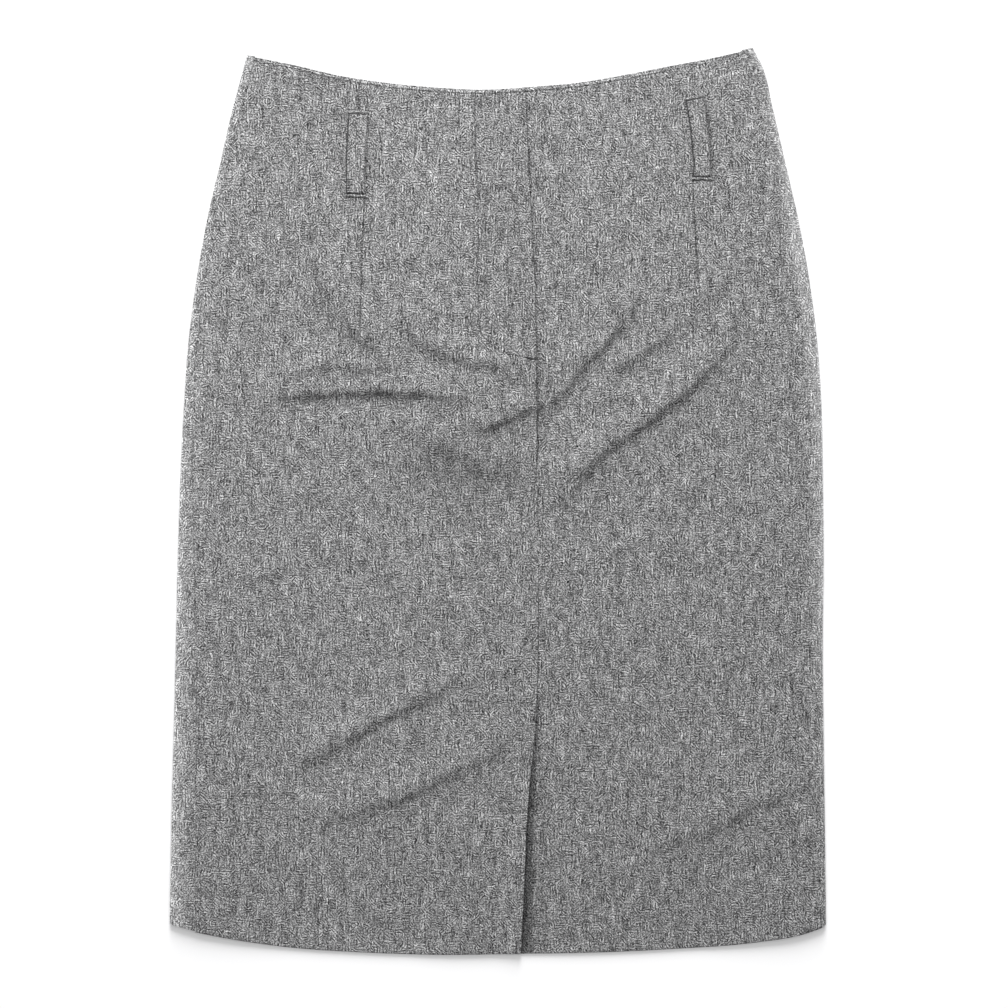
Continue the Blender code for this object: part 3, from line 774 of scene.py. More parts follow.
def dip_across(x, y):
    """1 at the front edge and under the lap, 0 where the dip ends beside them."""
    below_top = ease(y, VENT_TOP, VENT_TOP - VENT_DIP_GROWTH)
    width = mix(VENT_DIP_WIDTH, DIP_WIDTH, np.maximum(below_top, ease(y, *FLY_DIP_PART)))
    return ease(x - section(y, "front_edge"), width, DIP_START)


def right_top(x, y):
    """Upper side of the right front: it dips to the back where the left front lies on it."""
    low = wall(x, y) + GAP + SLACK + CLOTH
    low = low + zip_share(x, y) * (ZIP_WALL + GAP) * (1 - turned_share(x, y))
    low = low + DIP_CREASES * np.maximum(creases(x, y)[0], 0)
    top = panel_top(x, y)
    shallow = ease(y, VENT_TOP - SHALLOW[0], VENT_TOP - SHALLOW[1]) * (y < FLY_PART[0])
    low = mix(low, np.maximum(low, top - left_wall(x, y) - GAP - 2 * SLACK), shallow)
    return mix(top, np.minimum(low, top), dip_across(x, y) * dip_share(y))


def right_wall(x, y):
    """Wall of the right front: one layer under the lap, where the turned edges are trimmed."""
    return mix(wall(x, y), CLOTH, dip_across(x, y) * dip_share(y))


def left_wall(x, y):
    """Wall of the left front: one layer beside the fly, where the waist turn is trimmed."""
    edge = section(y, "front_edge")
    beside = ease(edge - x, TRIM_END, TRIM_START)
    return mix(wall(x, y), CLOTH, beside * ease(y, TRIM_LOW, TRIM_HIGH))


def left_low(x, y):
    """Lower side of the left front: it lies on the right front's lap at the fly, and its vent
    edge stands off by VENT_LIFT s^2, more and more towards the hem."""
    edge = section(y, "front_edge")
    at_fly = ease(y, *FLY_PART)
    lead = np.maximum(lap_width(y), 0) + mix(VENT_COVER_LEAD, COVER_LEAD, at_fly)
    cover = ease(edge - x, lead + mix(VENT_COVER_FALL, COVER_FALL, at_fly), lead)
    own = panel_top(x, y) - left_wall(x, y)
    over = right_top(np.minimum(x, edge), y) + GAP + SLACK
    raised = own + VENT_RAISE * ease(y, VENT_TOP, VENT_HEM + VENT_RAISE_END)
    laid = mix(np.maximum(raised, over), over, at_fly)
    low = mix(own, laid, cover * dip_share(y))
    beside = ease(edge - x, VENT_LIFT_WIDTH, 0) ** 2
    return low + VENT_LIFT * (beside * ease(y, VENT_TOP + VENT_LIFT_START, VENT_HEM))


def waist_seam(x):
    """The line of the facing's seam, a little below the waist edge."""
    return np.minimum(waist_line(x) - WAIST_SEAM, front_waist_line(x) - WAIST_SEAM_LEAST)


def loop_run(loop):
    """Direction of a belt loop from its low end to its high one, and its length."""
    run = np.array([loop.high_x - loop.low_x, loop.high_y - loop.low_y])
    length = float(np.hypot(*run))
    return run / length, length


def loop_painted_shadow(x, y):
    """How much painted shadow the panel has right beside a belt loop."""
    dark = np.zeros(np.broadcast(x, y).shape)
    for loop in LOOPS:
        run, length = loop_run(loop)
        dx, dy = x - loop.low_x, y - loop.low_y
        along = dx * run[0] + dy * run[1]
        bow = loop.bow * 4 * along / length * (1 - along / length)
        across = dx * run[1] - dy * run[0] - bow
        past_side, past_end = abs(across) - loop.width / 2, abs(along - length / 2) - length / 2
        away = np.hypot(np.maximum(past_side, 0), np.maximum(past_end, 0))
        dark = np.maximum(dark, LOOP_SHADE * bell(away, LOOP_SHADE_WIDTH))
    return dark


def fly_painted_shade(x, y):
    """A slightly darker strip of painted shade over the fly, beside the front edge."""
    beside = section(y, "front_edge") - x
    across = ease(beside, *FLY_SHADE_SIDE) * ease(beside, *FLY_SHADE_EDGE)
    return FLY_SHADE * across * ease(y, *FLY_SHADE_FOOT) * ease(y, *FLY_SHADE_HEAD)


def vent_painted_shadow(x, y):
    """How much painted shadow the right front has where the upper vent edge keeps the light from it:
    darkest in the first third of the width."""
    beside = np.maximum(x - section(y, "front_edge"), 0)
    width = VENT_DARK * mix(VENT_DARK_TOP, 1.0, ease(y, VENT_TOP, VENT_HEM))
    open_share = ease(y, VENT_TOP + VENT_OPENS[0], VENT_TOP + VENT_OPENS[1])
    grown = ease(y, VENT_TOP, VENT_TOP - VENT_OPENS_LENGTH)
    open_share = open_share * mix(VENT_OPENS_SHARE, 1.0, grown)
    near, far = bell(beside * VENT_DARK_CORE, width), np.exp(-((beside / width) ** 4))
    return open_share * (near + far) / 2


def left_top(x, y):
    return left_low(x, y) + left_wall(x, y)


# ---- grids and meshes -------------------------------------------------------------------
def spaced(length, step, rim_start, rim_end):
    """Distances from 0 to length: the rows of a rounded rim at each end, even steps between."""
    start = [rim_start * share for share in RIM[:-1]] if rim_start else []
    end = [length - rim_end * share for share in RIM[:-1]][::-1] if rim_end else []
    first, last = rim_start or 0.0, length - (rim_end or 0.0)
    count = max(2, int(round((last - first) / step)) + 1)
    return np.array(start + list(np.linspace(first, last, count)) + end)


def row_shares():
    """The rows from hem to waist as shares of the length."""
    length = WAIST[0].up - HEM[0].up
    return spaced(length, ROW_STEP, TURNED / 2, TURNED / 2) / length


def heights(x, share, top_line, shorter=0.0):
    """Y of a point at x in the row that lies at a share of the way from hem to waist."""
    return mix(hem_line(x) + shorter, top_line(x), share)


def settle(share, place, top_line, shorter=0.0):
    """X of one line in each row, where x depends on y: a few rounds of substitution."""
    y = mix(HEM[0].up, WAIST[0].up, share)
    for _ in range(ROUNDS):
        x = place(y)
        y = heights(x, share, top_line, shorter)
    return x


def rounded(distance, radius):
    """0 on an edge and 1 from radius on, along a quarter circle."""
    t = np.clip(distance / radius, 0, 1)
    return np.sqrt(np.maximum(1 - (1 - t) ** 2, 0))


def closed_shell(name, upper, lower, across, marks, material):
    """One closed body from two grids of points, (rows, columns, 3), which share their rim.
    across is each column's distance along the cloth, which with Y makes the weave's map, and
    marks are numbers kept at each point for the material."""
    rows, columns = upper.shape[:2]
    index = np.arange(rows * columns).reshape(rows, columns)
    under = index.copy()
    inner = (rows - 2) * (columns - 2)
    under[1:-1, 1:-1] = rows * columns + np.arange(inner).reshape(rows - 2, columns - 2)

    def quads(grid):
        return np.stack([grid[:-1, :-1], grid[:-1, 1:], grid[1:, 1:], grid[1:, :-1]], -1)

    faces = np.concatenate([quads(index).reshape(-1, 4), quads(under).reshape(-1, 4)[:, ::-1]])
    points = np.concatenate([upper.reshape(-1, 3), lower[1:-1, 1:-1].reshape(-1, 3)])

    def both(values):
        values = np.broadcast_to(values, (rows, columns))
        return np.concatenate([values.ravel(), values[1:-1, 1:-1].ravel()])

    mesh = new_mesh(name, points, faces)
    layer = mesh.uv_layers.new(name="Weave")
    corner = faces.ravel()
    places = np.stack([both(across)[corner], points[:, 1][corner]], 1)
    layer.data.foreach_set("uv", places.astype(np.float32).ravel())
    for mark, values in marks.items():
        kept = mesh.attributes.new(mark, "FLOAT", "POINT")
        kept.data.foreach_set("value", both(values).astype(np.float32))
    return add_piece(name, mesh, material)


def new_mesh(name, points, faces):
    mesh = bpy.data.meshes.new(name)
    mesh.vertices.add(len(points))
    mesh.vertices.foreach_set("co", np.asarray(points, np.float32).ravel())
    mesh.loops.add(faces.size)
    mesh.loops.foreach_set("vertex_index", faces.ravel().astype(np.int32))
    mesh.polygons.add(len(faces))
    starts = np.arange(len(faces), dtype=np.int32) * faces.shape[1]
    mesh.polygons.foreach_set("loop_start", starts)
    mesh.update(calc_edges=True)
    mesh.validate()
    mesh.shade_smooth()
    return mesh


def add_piece(name, mesh, material):
    mesh.materials.append(material)
    piece = bpy.data.objects.new(name, mesh)
    bpy.context.scene.collection.objects.link(piece)
    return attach(piece, "root")


def grid(x, y, z):
    return np.stack(np.broadcast_arrays(x, y, z), axis=-1)


def thick(low, high, rims):
    """The two sides of a wall, drawn together to its middle along rounded rims. Each rim is the
    distance to it and how round it is."""
    middle, half = (low + high) / 2, (high - low) / 2
    fullness = 1.0
    for distance, roundness in rims:
        fullness = fullness * rounded(distance, half * roundness)
    return middle - half * fullness, middle + half * fullness


def path_marks(x, y, points, name):
    """Distance beside a sewn line and the length along it, as marks for the material."""
    away, place = beside_path(x, y, smooth_path(points, MARK_STEPS))
    return {name + "_across": away, name + "_along": place}


def front_marks(x, y, beside):
    """Distance beside the front seam, which ends at the vent, and the length along it. The
    line is fainter where the cloth lies smooth in the middle, and beside the fly."""
    open_share = ease(y, VENT_TOP, VENT_TOP - FRONT_OFF_LENGTH)
    smooth = ease(y, *FRONT_SMOOTH_HEAD) * ease(y, *FRONT_SMOOTH_FOOT)
    away = beside + FRONT_OFF * open_share + FRONT_SMOOTH * smooth
    away = away + FRONT_FLY * ease(y, *FRONT_FLY_FOOT)
    return {"front_across": away, "front_along": y + 0 * x}


def front_shell(name, x, y, low, high, rims, marks, darker, material):
    """One front as a closed shell, with the marks of its waist and how much painted shade each
    point has: in the creases, in the hollows, beside the loops and by darker. The side folds get
    a painted highlight."""
    low, high = thick(low, high, rims)
    marks["waist_across"] = waist_seam(x) - y
    marks["brim_across"] = waist_line(x) - WAIST_BRIM - y
    # painted shade where the mark is above nought, painted highlight where it is below
    marks["nook"] = creases(x, y)[1] * CREASE_DARK + darker + loop_painted_shadow(x, y)
    marks["nook"] += hollow_painted_shade(x, y) - side_fold_painted_highlight(x, y)
    return closed_shell(name, grid(x, y, high), grid(x, y, low), x, marks, material)


def shown_cut(piece, across, y):
    """Flat size and area of a piece's cut: across by its length, hem and waist turn included."""
    flat = (across, float(np.ptp(y)) + HEM_TURN + WAIST_TURN)
    area = np.empty(len(piece.data.polygons))
    piece.data.polygons.foreach_get("area", area)
    cut = area.sum() / 2 + across * (HEM_TURN + WAIST_TURN)
    return flat, min(cut, flat[0] * flat[1])


def left_front(material):
    """From the left side seam to the front edge, on top at the fly and at the vent. Each point
    is at a share of the way from hem to waist and from seam to edge; z is the panel's height."""
    share = row_shares()
    edge = settle(share, lambda y: section(y, "front_edge"), front_waist_line)
    seam = settle(
        share, lambda y: section(y, "left") + section(y, "left_inset") + SEAM, front_waist_line
    )
    fine = FINE_STRIP - spaced(FINE_STRIP, FINE_STEP, 0, TURNED / 2)
    width = float(np.mean(edge - FINE_STRIP - seam))
    body = spaced(width, COLUMN_STEP, CLOTH / 2, 0)[:-1] / width
    x = np.concatenate(
        [mix(seam[:, None], (edge - FINE_STRIP)[:, None], body), edge[:, None] - fine], axis=1
    )
    y = heights(x, share[:, None], front_waist_line)
    rims = (
        (y - hem_line(x), 1),
        (front_waist_line(x) - y, 1),
        (x - x[:, :1], SEAM_ROUND),
        (x[:, -1:] - x, 1),
    )
    marks = path_marks(x, y, FLY_STITCH, "fly_stitch")
    marks.update(path_marks(x, y, LEFT_DART, "dart"))
    marks["seam_across"] = x - x[:, :1]
    marks["seam_along"] = y + 0 * x
    marks.update(front_marks(x, y, x[:, -1:] - x))
    low, high, darker = left_low(x, y), left_top(x, y), fly_painted_shade(x, y)
    piece = front_shell("left_front_cloth", x, y, low, high, rims, marks, darker, material)
    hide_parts("front_left")
    flat, area = shown_cut(piece, float(np.ptp(x)), y)
    return piece


def right_front(material):
    """From its lap under the left front to the right side seam, on the same kind of grid."""
    share = row_shares()
    lap = settle(share, lambda y: section(y, "front_edge") - lap_width(y), front_waist_line)
    start = settle(
        share, lambda y: section(y, "front_edge") + FINE_STEP * FINE_COLUMNS, front_waist_line
    )
    seam = settle(
        share, lambda y: section(y, "right") - section(y, "right_inset") - SEAM, front_waist_line
    )
    strip_width = float(np.mean(start - lap))
    strip = spaced(strip_width, FINE_STEP, CLOTH / 2, 0)[:-1] / strip_width
    body_width = float(np.mean(seam - start))
    body = spaced(body_width, COLUMN_STEP, 0, CLOTH / 2) / body_width
    x = np.concatenate(
        [mix(lap[:, None], start[:, None], strip), mix(start[:, None], seam[:, None], body)], axis=1
    )
    y = heights(x, share[:, None], front_waist_line)
    rims = (
        (y - hem_line(x), 1),
        (front_waist_line(x) - y, 1),
        (x - x[:, :1], 1),
        (x[:, -1:] - x, SEAM_ROUND),
    )
    marks = path_marks(x, y, RIGHT_DART, "dart")
    marks.update(path_marks(x, y, DART_HEAD, "head"))
    marks.update(path_marks(x, y, FACING_END, "facing"))
    marks.update(front_marks(x, y, x - section(y, "front_edge")))
    high, darker = right_top(x, y), vent_painted_shadow(x, y) * VENT_SHADE
    low = high - right_wall(x, y)
    piece = front_shell("right_front_cloth", x, y, low, high, rims, marks, darker, material)
    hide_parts("front_right")
    flat, area = shown_cut(piece, float(np.ptp(x)), y)
    return piece


def back_line(share, name, inset=None, sign=0):
    """X of one line of the back in each row: a side fold, or as far in from it as its seam."""

    def place(y):
        return section(y, name) + (sign * section(y, inset) if inset else 0.0)

    return settle(share, place, waist_line, BACK_SHORTER)[:, None]


def back_path(left, right, left_in, right_in):
    """X and Z of the back's outer side: from the left side seam out to the fold, a quarter round
    down, flat along the floor, and the same on the right. Also the number of columns on the
    left strip, and the slice of them that lies flat."""
    radius = SIDE_TOP / 2
    turn = np.linspace(0, np.pi / 2, FOLD_STEPS)
    fine, wide = STRIP_STEPS
    strip = [np.linspace(0, STRIP_FINE, fine)[:-1], np.linspace(STRIP_FINE, 1, wide)]
    strip = np.concatenate(strip) ** STRIP_POWER
    flat = np.linspace(0, 1, FLAT_STEPS)

    def from_fold(inset):
        return np.concatenate([(inset - CLOTH / 2) * strip, inset - CLOTH / 2 * RIM_IN], axis=1)

    top_left, top_right = from_fold(left_in)[:, ::-1], from_fold(right_in)
    quarter_x, quarter_z = radius * (1 - np.cos(turn[1:])), radius * (1 - np.sin(turn[1:]))
    ones = np.ones_like(left)
    x = [
        left + top_left,
        left + quarter_x,
        mix(left + radius, right - radius, flat[1:-1]),
        right - quarter_x[::-1],
        right - top_right,
    ]
    z = [
        SIDE_TOP - fold_drop(top_left, SIDE_ROUND_LEFT),
        ones * quarter_z,
        ones * np.zeros(len(flat) - 2),
        ones * quarter_z[::-1],
        SIDE_TOP - fold_drop(top_right, SIDE_ROUND_RIGHT),
    ]
    on_left = top_left.shape[1]
    first = on_left + len(turn) - 1
    inside = slice(first, first + len(flat) - 2)
    return np.concatenate(x, axis=1), np.concatenate(z, axis=1), on_left, inside


def back_panel(material):
    """Flat below, round both side folds and on to the side seams on the front. Each row's
    outer side is a path in X and Z; the inner side lies a wall's thickness along its normal."""
    share = row_shares()
    left, right = back_line(share, "left"), back_line(share, "right")
    left_in = back_line(share, "left", "left_inset", 1) - left
    right_in = right - back_line(share, "right", "right_inset", -1)
    x, z, on_left, inside = back_path(left, right, left_in, right_in)
    y = heights(x, share[:, None], waist_line, BACK_SHORTER)
    middle = np.zeros(x.shape)
    middle[:, inside] = 1
    beside = np.minimum(x - left, right - x)
    ruck = RUCK * (1 + wander(x * 1.3 + y * 0.5, 1.0) * wander(y * 1.1 - x * 0.6, 7.0))
    z = z + middle * ruck * ease(beside, *RUCK_SIDE) * ease(y - hem_line(x), *RUCK_HEM)
    tx, tz = np.gradient(x, axis=1), np.gradient(z, axis=1)
    length = np.hypot(tx, tz)
    nx, nz = -tz / length, tx / length
    nx, nz = mix(nx, 0.0, middle), mix(nz, 1.0, middle)
    depth = mix(CLOTH, wall(x, y), middle * ease(beside, *FLAT_EDGE))
    steps = np.hypot(np.diff(x, axis=1), np.diff(z, axis=1))
    arc = np.concatenate([np.zeros_like(left), np.cumsum(steps, axis=1)], axis=1)
    half = depth / 2
    fullness = (
        rounded(y - hem_line(x) - BACK_SHORTER, half)
        * rounded(waist_line(x) - y, half)
        * rounded(arc, half * SEAM_ROUND)
        * rounded(arc[:, -1:] - arc, half * SEAM_ROUND)
    )
    near, far = half * (1 - fullness), depth - half * (1 - fullness)
    outer = grid(x + nx * near, y, z + nz * near)
    inner = grid(x + nx * far, y, z + nz * far)
    # the left strip on the front, and the right fold with its strip, get the side folds' painted
    # highlight
    order = np.arange(x.shape[1])
    painted_highlight = (order < on_left) | (order > inside.stop + FOLD_STEPS // 3)
    marks = {"nook": -side_fold_painted_highlight(x, y) * painted_highlight}
    piece = closed_shell("back_cloth", inner, outer, arc, marks, material)
    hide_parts("back")
    flat_size, area = shown_cut(piece, float(arc.max()), y)
    return piece


def loop_surface(loop, top, along, across):
    """X, Y and the heights of a belt loop's two sides. along is the distance from its low end and
    across runs from -1 to 1. Its middle line bows by 4 bow s (1 - s). The ends are folded under
    and tacked in a groove beside the fold, and the strap stands a little proud between them."""
    run, length = loop_run(loop)
    share = along / length
    from_end = np.minimum(along, length - along)
    half = loop.width / 2 * (1 - loop.pinch * bell(along - LOOP_PINCH_AT, LOOP_PINCH_WIDTH))
    half = half + LOOP_FLARE * ease(from_end, *LOOP_FLARE_FALL)
    bow = loop.bow * 4 * share * (1 - share)
    skew = across * half * mix(loop.low_skew, loop.high_skew, share)
    x = loop.low_x + run[0] * (along + skew) + (across * half + bow) * run[1]
    y = loop.low_y + run[1] * (along + skew) - (across * half + bow) * run[0]
    rise = ease(from_end, *LOOP_ARCH_RISE)
    round_end = rounded(from_end, LOOP_END_ROUND)
    round_side = rounded((1 - abs(across)) * half, LOOP_SIDE_ROUND)
    full = LOOP_WALL - LOOP_THIN * (1 - ease(from_end, *LOOP_THIN_FALL))
    body = full - LOOP_GROOVE * bell(from_end - LOOP_TACK, LOOP_GROOVE_WIDTH)
    body = body - LOOP_HOLLOW * (1 - across**2) * rise
    body = body + LOOP_RIPPLE * wander(along * 4.0 + across * 0.6, 1.0 + loop.bow * 900)
    middle = top(x, y) + LOOP_SEAT + LOOP_ARCH * rise + full / 2
    high = middle + (body - full / 2) * round_end * round_side
    low = middle - full / 2 * round_end * round_side
    return x, y, low, high


def belt_loop(loop, top, material):
    """A closed strap, with painted shade along its sides and in the grooves, and a painted highlight on
    its folded ends.
    """
    _, length = loop_run(loop)
    along = spaced(length, LOOP_STEP, LOOP_END_ROUND, LOOP_END_ROUND)[:, None]
    side = spaced(loop.width, LOOP_STEP, LOOP_SIDE_RIM, LOOP_SIDE_RIM)[None, :] / loop.width * 2 - 1
    x, y, low, high = loop_surface(loop, top, along, side)
    across = side * loop.width / 2 + loop.low_x
    inward = (1 - abs(side)) * loop.width / 2
    from_end = np.minimum(along, length - along)
    # painted shade along the sides and in the grooves, painted highlight on the folded ends
    rim = np.where(side < 0, loop.left_dark, loop.right_dark)
    rim = rim * np.exp(-((inward / LOOP_DARK_WIDTH) ** 4)) * ease(from_end, *LOOP_DARK_START)
    end = LOOP_END_LIGHT * bell(from_end - LOOP_END_LIGHT_AT, LOOP_END_LIGHT_WIDTH)
    groove = LOOP_GROOVE_DARK * bell(from_end - LOOP_TACK, LOOP_GROOVE_DARK_WIDTH)
    marks = {"nook": np.minimum(np.maximum(rim, groove) + end, LOOP_DARKEST)}
    piece = closed_shell(loop.name, grid(x, y, high), grid(x, y, low), across, marks, material)
    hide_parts(loop.node)
    return piece


# ---- threads ----------------------------------------------------------------------------
def thread_stitches(name, starts, ends, bow, radius, material):
    """Many stitches as one mesh. Each is a tube from its start to its end whose middle rises by
    4 bow t (1 - t) and whose two ends narrow into the cloth."""
    t = RING_PLACES
    way = ends - starts
    way = way / np.linalg.norm(way, axis=1, keepdims=True)
    side = np.cross(way, [0.0, 0.0, 1.0])
    side = side / np.linalg.norm(side, axis=1, keepdims=True)
    up = np.cross(side, way)
    centre = starts[:, None] + (ends - starts)[:, None] * t[:, None]
    centre = centre + np.array([0, 0, 1.0]) * (bow * (4 * t * (1 - t)))[:, None]
    angle = np.linspace(0, 2 * np.pi, RING_POINTS + 1)[:-1]
    ring = side[:, None, None] * np.cos(angle)[:, None] + up[:, None, None] * np.sin(angle)[:, None]
    points = centre[:, :, None] + ring * (radius * RING_SIZES)[:, None, None]
    index = np.arange(points[..., 0].size).reshape(points.shape[:3])
    after = np.roll(index, -1, axis=2)
    walls = np.stack([index[:, :-1], after[:, :-1], after[:, 1:], index[:, 1:]], -1).reshape(-1, 4)
    first, last = index[:, 0], index[:, -1]
    middles = range(2, RING_POINTS, 2)
    caps = [first[:, [0, i + 1, i, i - 1]] for i in middles]
    caps += [last[:, [0, i - 1, i, i + 1]] for i in middles]
    mesh = new_mesh(name, points.reshape(-1, 3), np.concatenate([walls, *caps]))
    return add_piece(name, mesh, material)


def fly_stitching(material):
    """Topstitching along the fly's curve: evenly long stitches that lie on the left front."""
    path = smooth_path(FLY_STITCH, FLY_STEPS)
    away = run_along(path)
    sizes = bpy.context.scene.skirt_cloth
    pitch, radius = sizes.stitch_length, sizes.thread_width / 2
    starts = np.arange(STITCH_START, away[-1] - pitch, pitch)

    def on_cloth(at):
        x, y = np.interp(at, away, path[:, 0]), np.interp(at, away, path[:, 1])
        return np.stack([x, y, left_top(x, y) - STITCH_BOW], 1)

    first, last = on_cloth(starts), on_cloth(starts + pitch * STITCH_SHARE)
    return thread_stitches("fly_stitching", first, last, STITCH_BOW, radius, material)


def zigzag(count, sway):
    """A thread's place beside its line: as far to the one side and to the other, in turn."""
    return np.where(np.arange(count) % 2, sway, -sway)


def bar_tacks(material):
    """A zigzag of thread in the groove at each end of each loop, one at the fly's foot and one
    beside the vent's top."""
    tacks = []
    for loop, top in zip(LOOPS, (left_top, right_top)):
        for line in (LOOP_TACK, loop_run(loop)[1] - LOOP_TACK):
            along = line + zigzag(len(LOOP_TACK_STEPS), LOOP_TACK_SWAY)
            x, y, _, high = loop_surface(loop, top, along, LOOP_TACK_STEPS)
            tacks.append(np.stack([x, y, high + LOOP_TACK_ABOVE], 1))
    foot = smooth_path(FLY_STITCH, FLY_STEPS)[-FOOT_TACK_PART:]
    steps = np.linspace(0, FOOT_TACK_PART - 1, FOOT_TACK_STEPS).astype(int)
    x, y = foot[steps, 0], foot[steps, 1] + zigzag(FOOT_TACK_STEPS, FOOT_TACK_SWAY)
    tacks.append(np.stack([x, y, left_top(x, y) + TACK_ABOVE], 1))
    x = np.linspace(*VENT_TACK[:2], VENT_TACK_STEPS)
    y = VENT_TACK[2] + zigzag(VENT_TACK_STEPS, VENT_TACK_SWAY)
    tacks.append(np.stack([x, y, right_top(x, y) + TACK_ABOVE], 1))
    starts, ends = np.concatenate([t[:-1] for t in tacks]), np.concatenate([t[1:] for t in tacks])
    return thread_stitches("bar_tacks", starts, ends, TACK_BOW, TACK_RADIUS, material)


# ---- the zip ----------------------------------------------------------------------------
def zip_tapes(material):
    """The two tapes as one thin woven strip: flat, with a low ridge along its middle."""
    top = fly_top() - ZIP_START
    y = np.linspace(top - ZIP_LENGTH, top, TAPE_ROWS)[:, None]
    across = np.linspace(-1, 1, TAPE_COLUMNS)[None, :]
    x = section(y, "front_edge") + ZIP_PAST_EDGE - ZIP_WIDTH / 2 * (1 - across)
    low = CLOTH + GAP + 0 * x + 0 * y
    high = low + TAPE_WALL + TAPE_RIDGE * bell(across, TAPE_RIDGE_WIDTH)
    piece = closed_shell("zip_tapes", grid(x, y, high), grid(x, y, low), x, {}, material)
    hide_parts("zip")
    return piece


def zip_teeth(material):
    """The closed coil: short, slightly slanting bars across the tapes' middle."""
    top = fly_top() - ZIP_START - COIL_START
    y = np.arange(top - ZIP_LENGTH + COIL_SHORTER, top, COIL_PITCH)
    middle = section(y, "front_edge") + ZIP_PAST_EDGE - ZIP_WIDTH / 2
    level = np.full(y.shape, CLOTH + GAP + COIL_LEVEL)
    starts = np.stack([middle - COIL_REACH, y, level], 1)
    ends = np.stack([middle + COIL_REACH, y + COIL_SLANT, level], 1)
    return thread_stitches("zip_teeth", starts, ends, 0.0, COIL_RADIUS, material)


# ---- materials --------------------------------------------------------------------------
class Nodes:
    """Short ways to add shader nodes to a tree and join them."""

    def __init__(self, tree):
        self.tree = tree

    def add(self, kind, **settings):
        node = self.tree.nodes.new(kind)
        for name, value in settings.items():
            setattr(node, name, value)
        return node

    def put(self, socket, value):
        if isinstance(value, bpy.types.NodeSocket):
            self.tree.links.new(value, socket)
        elif value is not None:
            socket.default_value = value

    def math(self, operation, a, b=None, c=None):
        node = self.add("ShaderNodeMath", operation=operation)
        for socket, value in zip(node.inputs, (a, b, c)):
            self.put(socket, value)
        return node.outputs[0]

    def vector(self, operation, a, b=None, scale=None):
        node = self.add("ShaderNodeVectorMath", operation=operation)
        self.put(node.inputs[0], a)
        self.put(node.inputs[1], b)
        if scale is not None:
            self.put(node.inputs["Scale"], scale)
        return node.outputs[0]

    def split(self, vector):
        node = self.add("ShaderNodeSeparateXYZ")
        self.put(node.inputs[0], vector)
        return node.outputs

    def span(self, value, low, high, start=0.0, end=1.0):
        node = self.add("ShaderNodeMapRange")
        for socket, number in zip(node.inputs, (value, low, high, start, end)):
            self.put(socket, number)
        return node.outputs[0]

    def noise(self, vector, scale=1.0, detail=2.0, roughness=0.5, output=0):
        node = self.add("ShaderNodeTexNoise")
        self.put(node.inputs["Vector"], vector)
        self.put(node.inputs["Scale"], scale)
        node.inputs["Detail"].default_value = detail
        node.inputs["Roughness"].default_value = roughness
        return node.outputs[output]

    def around(self, total, value, amount):
        """total plus amount times how far value is from a half."""
        centred = self.math("SUBTRACT", value, 0.5)
        return self.math("MULTIPLY_ADD", centred, amount, total)


def new_group(name, inputs, outputs):
    group = bpy.data.node_groups.new(name, "ShaderNodeTree")
    for label, kind, value in inputs:
        socket = group.interface.new_socket(label, in_out="INPUT", socket_type=kind)
        if value is not None:
            socket.default_value = value
    for label, kind in outputs:
        group.interface.new_socket(label, in_out="OUTPUT", socket_type=kind)
    nodes = Nodes(group)
    return group, nodes, nodes.add("NodeGroupInput").outputs, nodes.add("NodeGroupOutput").inputs


